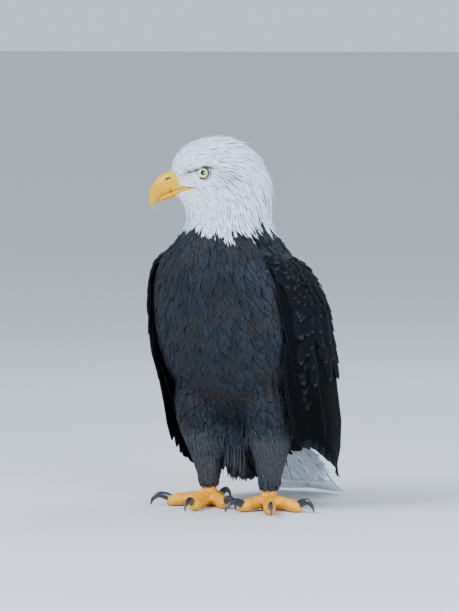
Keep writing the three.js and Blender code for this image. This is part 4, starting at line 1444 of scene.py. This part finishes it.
# %% [markdown]
# ## Feet
#
# An eagle's feet are bare, orange-yellow and armoured: a row of broad scutes over each toe, small rough
# grains elsewhere, and thick pads below. Shins and toes are melted together in smaller cubes than the body,
# and the scutes are pressed into the surface as shallow waves along each toe. Then the feet are joined to
# the skin by a boolean union, with the plates inside the wings, so that one skin runs from bill to toes.

# %% Feet
TOES = ("inner", "middle", "outer", "hind")
FOOT_CUBE, SCUTE, SCUTE_HEIGHT, GRAIN, GRAIN_HEIGHT = 1.45, 4.2, 0.9, 1.9, 0.2
KNUCKLES = (24.0, 43.0)
SHIN_ROOM = 12.0  # how far the foot's skin reaches up into the leg's


def toe_way(side, toe):
    way = (middle(f"toe_{side}_{toe}") - middle(f"shin_{side}")) * np.array((1, 1, 0))
    return unit(way)


def foot(side):
    """One foot's mesh, and how deep its grooves are at each point."""
    shin = merged(f"shin_{side}")
    top = max(vert.co.z for vert in shin.verts)
    for vert in shin.verts:
        if vert.co.z > top - 0.5 * MM:
            vert.co.z += SHIN_ROOM * MM
    mesh = moulded(
        (shin, merged(*(f"toe_{side}_{toe}" for toe in TOES))),
        ("DISPLACE", dict(strength=0.8 * MM, mid_level=0)),
        ("REMESH", dict(mode="VOXEL", voxel_size=FOOT_CUBE * MM)),
        ("SMOOTH", dict(factor=0.5, iterations=5)),
        ("DISPLACE", dict(strength=-0.8 * MM, mid_level=0)),
        ("SMOOTH", dict(factor=0.5, iterations=2)),
    )
    points, normals = places(mesh), normals_of(mesh)
    heart = middle(f"shin_{side}") * np.array((1, 1, 0))
    ways = np.array([toe_way(side, toe) for toe in TOES])
    offsets = points - heart
    runs = offsets @ ways.T
    level = offsets * np.array((1, 1, 0))
    offs = np.abs(np.cross(level[:, None], ways[None])[..., 2]) + np.where(runs < 0, 99, 0)
    toe = offs.argmin(axis=1)
    index = np.arange(len(points))
    run, off = runs[index, toe], offs[index, toe]
    on_shin = ease(points[:, 2], 22, 27)
    run = run * (1 - on_shin) + points[:, 2] * on_shin
    front = normals @ np.array((0, -1, 0))
    plate = ease(normals[:, 2], 0.15, 0.6) * ease(-off, -7.5, -4.5) * (1 - on_shin)
    plate += ease(front, 0.2, 0.6) * on_shin
    plate *= ease(run, 12, 16) * (1 - on_shin) + on_shin
    wave = np.abs(np.sin(run * math.pi / SCUTE)) ** 0.5 - 0.6
    grain = np.prod(np.sin(points * 6.28 / GRAIN), axis=1)
    knuckle = sum(np.exp(-(((run - place) / 5) ** 2)) for place in KNUCKLES) * (1 - on_shin) * 0.9
    above_floor = ease(points[:, 2], 0.5, 3)
    height = plate * wave * SCUTE_HEIGHT + (1 - plate) * grain * GRAIN_HEIGHT + knuckle
    points = points + normals * (height * above_floor)[:, None]
    points[:, 2] = np.maximum(points[:, 2], 0)
    move_to(mesh, points)
    return mesh, plate * (0.5 - wave)


feet = {side: foot(side) for side in SIDES}
feet_trees = {side: surface(places(mesh), mesh) for side, (mesh, groove) in feet.items()}
skin = placed("skin", skin_mesh)
for mesh, groove in feet.values():
    mark(mesh, "groove", groove)
for mesh in [wing_core(side) for side in SIDES] + [mesh for mesh, groove in feet.values()]:
    tool = placed("part", mesh)
    union = skin.modifiers.new("union", "BOOLEAN")
    union.operation, union.solver, union.object = "UNION", "MANIFOLD", tool
    joined = bpy.data.meshes.new_from_object(skin.evaluated_get(bpy.context.evaluated_depsgraph_get()))
    skin.modifiers.clear()
    skin.data = joined
    bpy.data.objects.remove(tool)
skin_mesh = skin.data
skin_points = places(skin_mesh)
print("the skin has", len(skin_mesh.polygons), "faces")

# %% [markdown]
# ## Claws
#
# Each claw is a hook of black horn, thick at the toe and drawn out to a point at floor level. It is lofted
# along an arch whose length is measured from the frame.

# %% Claws
# Share of the claw's length, height, half height; the claw is a quarter slimmer than it is high.
CLAW = ((-0.2, 9, 6), (0.12, 14.5, 5.8), (0.48, 16.5, 4.5), (0.76, 10.5, 2.8), (0.86, 1.8, 0.7))
CLAW_SLIM = 0.75


def claw(side, toe):
    """A claw that takes up the frame's claw from its root to its point."""
    name = f"claw_{side}_{toe}"
    way = toe_way(side, toe)
    across = np.cross(UP, way)
    heart = middle(f"shin_{side}") * np.array((1, 1, 0))
    reach = (np.array([(vert.co / MM)[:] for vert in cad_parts[name].data.vertices]) - heart) @ way
    length = (reach.max() - reach.min() + 4.0) / (CLAW[-1][0] - CLAW[0][0])
    start = reach.max() - CLAW[-1][0] * length
    rows = through([(start + share * length, height, half) for share, height, half in CLAW], 18)
    headings = unit(np.gradient(rows[:, :2], axis=0))
    rings = []
    for (run, height, half), (ahead, rise) in zip(rows, headings):
        centre = heart + way * run + UP * height
        up = -way * rise + UP * ahead
        half = max(half, 0.35)
        rings.append([centre + up * half * math.sin(turn) + across * CLAW_SLIM * half * math.cos(turn)
                      for turn in np.linspace(0, 2 * math.pi, 14, endpoint=False)])
    return piece_from(name + "_horn", lofted(rings), 1)


def claw_horn(name):
    """Claw horn: black at the root, greyer and streaked along its length, with a gloss from wear."""
    made, tree, shader = material(name)
    place = add(tree, "ShaderNodeTexCoord", output=3)
    streak = add(tree, "ShaderNodeTexNoise", {"Vector": place, "Scale": 260.0, "Detail": 3.0})
    worn = add(tree, "ShaderNodeMapRange", {0: streak, 1: 0.35, 2: 0.7}, **SMOOTH)
    tint = add(tree, "ShaderNodeMix", {0: worn, 6: colour("#101216"), 7: colour("#343940")}, **BLEND)
    tree.links.new(tint, shader.inputs["Base Color"])
    ridges = add(tree, "ShaderNodeBump", {"Height": streak, "Strength": 0.2, "Distance": 0.0003})
    tree.links.new(ridges, shader.inputs["Normal"])
    shader.inputs["Roughness"].default_value = 0.28
    shader.inputs["IOR"].default_value = 1.55
    return made


CLAW_HORN = claw_horn("claw_horn")
for side in SIDES:
    for toe in TOES:
        finished(claw(side, toe), CLAW_HORN, "claw_horn", f"claw_{side}_{toe}")

# %% Skin material
def skin_colours(name):
    """Skin: dull and dark under the coat, and on the feet orange-yellow scales with darker grooves."""
    made, tree, shader = material(name)
    place = add(tree, "ShaderNodeTexCoord", output=3)
    mottle = add(tree, "ShaderNodeTexNoise", {"Vector": place, "Scale": 120.0, "Detail": 3.0})
    patchy = add(tree, "ShaderNodeMapRange", {0: mottle, 1: 0.35, 2: 0.68}, **SMOOTH)
    deep = add(tree, "ShaderNodeAttribute", attribute_name="groove")
    deep = add(tree, "ShaderNodeMapRange", {0: deep, 1: 0.3, 2: 1.0, 4: 0.8}, **SMOOTH)
    lore = add(tree, "ShaderNodeMix", {0: patchy, 6: colour("#aab0a2"), 7: colour("#cdd2bb")}, **BLEND)
    scale = add(tree, "ShaderNodeMix", {0: patchy, 6: colour("#cf8400"), 7: colour("#dc9c00")}, **BLEND)
    scale = add(tree, "ShaderNodeMix", {0: deep, 6: scale, 7: colour("#8e4c08")}, **BLEND)
    tint = colour("#0d1014")
    # The lids' dark ring and the brow's painted shadow share one dark colour.
    for region, paint in (("white", colour("#d3dae0")), ("lore", lore), ("lid_yellow", colour("#d8b01e")),
                          ("lid_dark_and_brow_shade", colour("#23252a")), ("foot", scale)):
        share = add(tree, "ShaderNodeAttribute", attribute_name=region)
        tint = add(tree, "ShaderNodeMix", {0: share, 6: tint, 7: paint}, **BLEND)
    tree.links.new(tint, shader.inputs["Base Color"])
    pores = add(tree, "ShaderNodeBump", {"Height": mottle, "Strength": 0.2, "Distance": 0.0005})
    tree.links.new(pores, shader.inputs["Normal"])
    shader.inputs["Roughness"].default_value = 0.6
    return made


RUMP_LAP = 22.0  # how far the dark feathers of the rump lie over the white ones
SHIN_TOP = 44.0  # the bare shin is hidden in the trousers above this height


def skin_marks(points):
    """Where the skin is bare yellow foot, white, grey before the eye, ringed round it, and dark with the
    brow's painted shadow.
    """
    ahead, left, above = on_head(points).T
    off = np.hypot(ahead, above) - lid_opening(ahead, above)
    eye = (np.abs(left) > 8) & (off < 14)
    lore = ease(ahead, 4, 12) * ease(-ahead, -46, -40) * ease(above, -22, -16) * ease(-above, -9, -3)
    foot = np.minimum(*(nearest(feet_trees[side], points)[2] for side in SIDES))
    ring = ease(-off, -2.1, -1.7) + ease(off, 2.7, 3.1) * ease(-off, -4.9, -4.0)
    return {
        "foot": ease(-foot, -0.3, -0.05) * (points[:, 2] < SHIN_TOP),
        "white": whiteness(points - np.outer(points[:, 2] < 250, (0, RUMP_LAP, 0))),
        "lore": lore * (np.abs(left) > 5),
        "lid_yellow": np.where(eye, ease(off, 1.7, 2.1) * ease(-off, -3.1, -2.7), 0),
        # The lids' dark ring, with the brow's painted shadow over it.
        "lid_dark_and_brow_shade": np.clip(np.where(eye, ring, 0) + 0.9 * brow_shade(points), 0, 1),
    }


SKIN = skin_colours("skin")
skin_mesh.polygons.foreach_set("use_smooth", np.ones(len(skin_mesh.polygons), bool))
for name, values in skin_marks(skin_points).items():
    mark(skin_mesh, name, values)
LIMBS = [f"{part}_{side}" for side in SIDES for part in ("thigh", "shin")]
finished(skin, SKIN, "dark_plumage", "head", "neck", "trunk", *LIMBS,
         *(f"toe_{side}_{toe}" for side in SIDES for toe in TOES))

# %% [markdown]
# ## A studio
#
# A plain pale floor, a soft cool sky and three broad lamps: a key from the left of the picture, a weaker
# fill from its right and a rim from behind, so that black feathers still show their edges. The camera looks
# from the bird's front left, a little downwards, and takes in all of it.

# %% Floor, light and camera
VIEW_AZIMUTH, VIEW_HEIGHT = math.radians(30), math.radians(4)
VIEW_DISTANCE = 5500
FRAME_HEIGHT = 887.0
SENSOR = 36.0
ASIDE, UPWARD = 13.8, 291.5  # how far the view's middle is to the left of the feet, and above them
across = np.array((math.cos(VIEW_AZIMUTH), math.sin(VIEW_AZIMUTH), 0))
forward = np.array((-math.sin(VIEW_AZIMUTH) * math.cos(VIEW_HEIGHT),
                    math.cos(VIEW_AZIMUTH) * math.cos(VIEW_HEIGHT), -math.sin(VIEW_HEIGHT)))
upward = np.cross(across, forward)
aim = np.array((0, STANCE_Y, 0)) - across * ASIDE + upward * UPWARD
eye = placed("camera", bpy.data.cameras.new("camera"))
eye.location = Vector(aim - forward * VIEW_DISTANCE) * MM
eye.rotation_euler = Vector(forward).to_track_quat("-Z", "Y").to_euler()
eye.data.sensor_width = SENSOR
eye.data.lens = SENSOR * VIEW_DISTANCE / FRAME_HEIGHT
bpy.context.scene.camera = eye

floor_shape = bmesh.new()
bmesh.ops.create_grid(floor_shape, x_segments=1, y_segments=1, size=200)
floor_mesh = bpy.data.meshes.new("floor")
floor_shape.to_mesh(floor_mesh)
floor = placed("floor", floor_mesh)
floor_finish, _, floor_shader = material("pale_floor")
floor_shader.inputs["Base Color"].default_value = colour("#c9cccd")
floor_shader.inputs["Roughness"].default_value = 0.8
floor_mesh.materials.append(floor_finish)

world = bpy.data.worlds.new("studio")
world.use_nodes = True
world.node_tree.nodes["Background"].inputs["Color"].default_value = colour("#ccdaea")
world.node_tree.nodes["Background"].inputs["Strength"].default_value = 1.22
bpy.context.scene.world = world
for name, place, size, power in (
    ("key", (-1.2, -2.2, 2.6), 1.6, 175),
    ("fill", (2.4, -1.4, 0.8), 1.8, 130),
    ("rim", (1.0, 2.4, 2.2), 1.6, 45),
):
    lamp = bpy.data.lights.new(name, "AREA")
    lamp.energy, lamp.size, lamp.color = power, size, colour("#eaf1ff")[:3]
    light = placed(name, lamp)
    light.location = place
    light.rotation_euler = (Vector((0, 0, 0.3)) - Vector(place)).to_track_quat("-Z", "Y").to_euler()
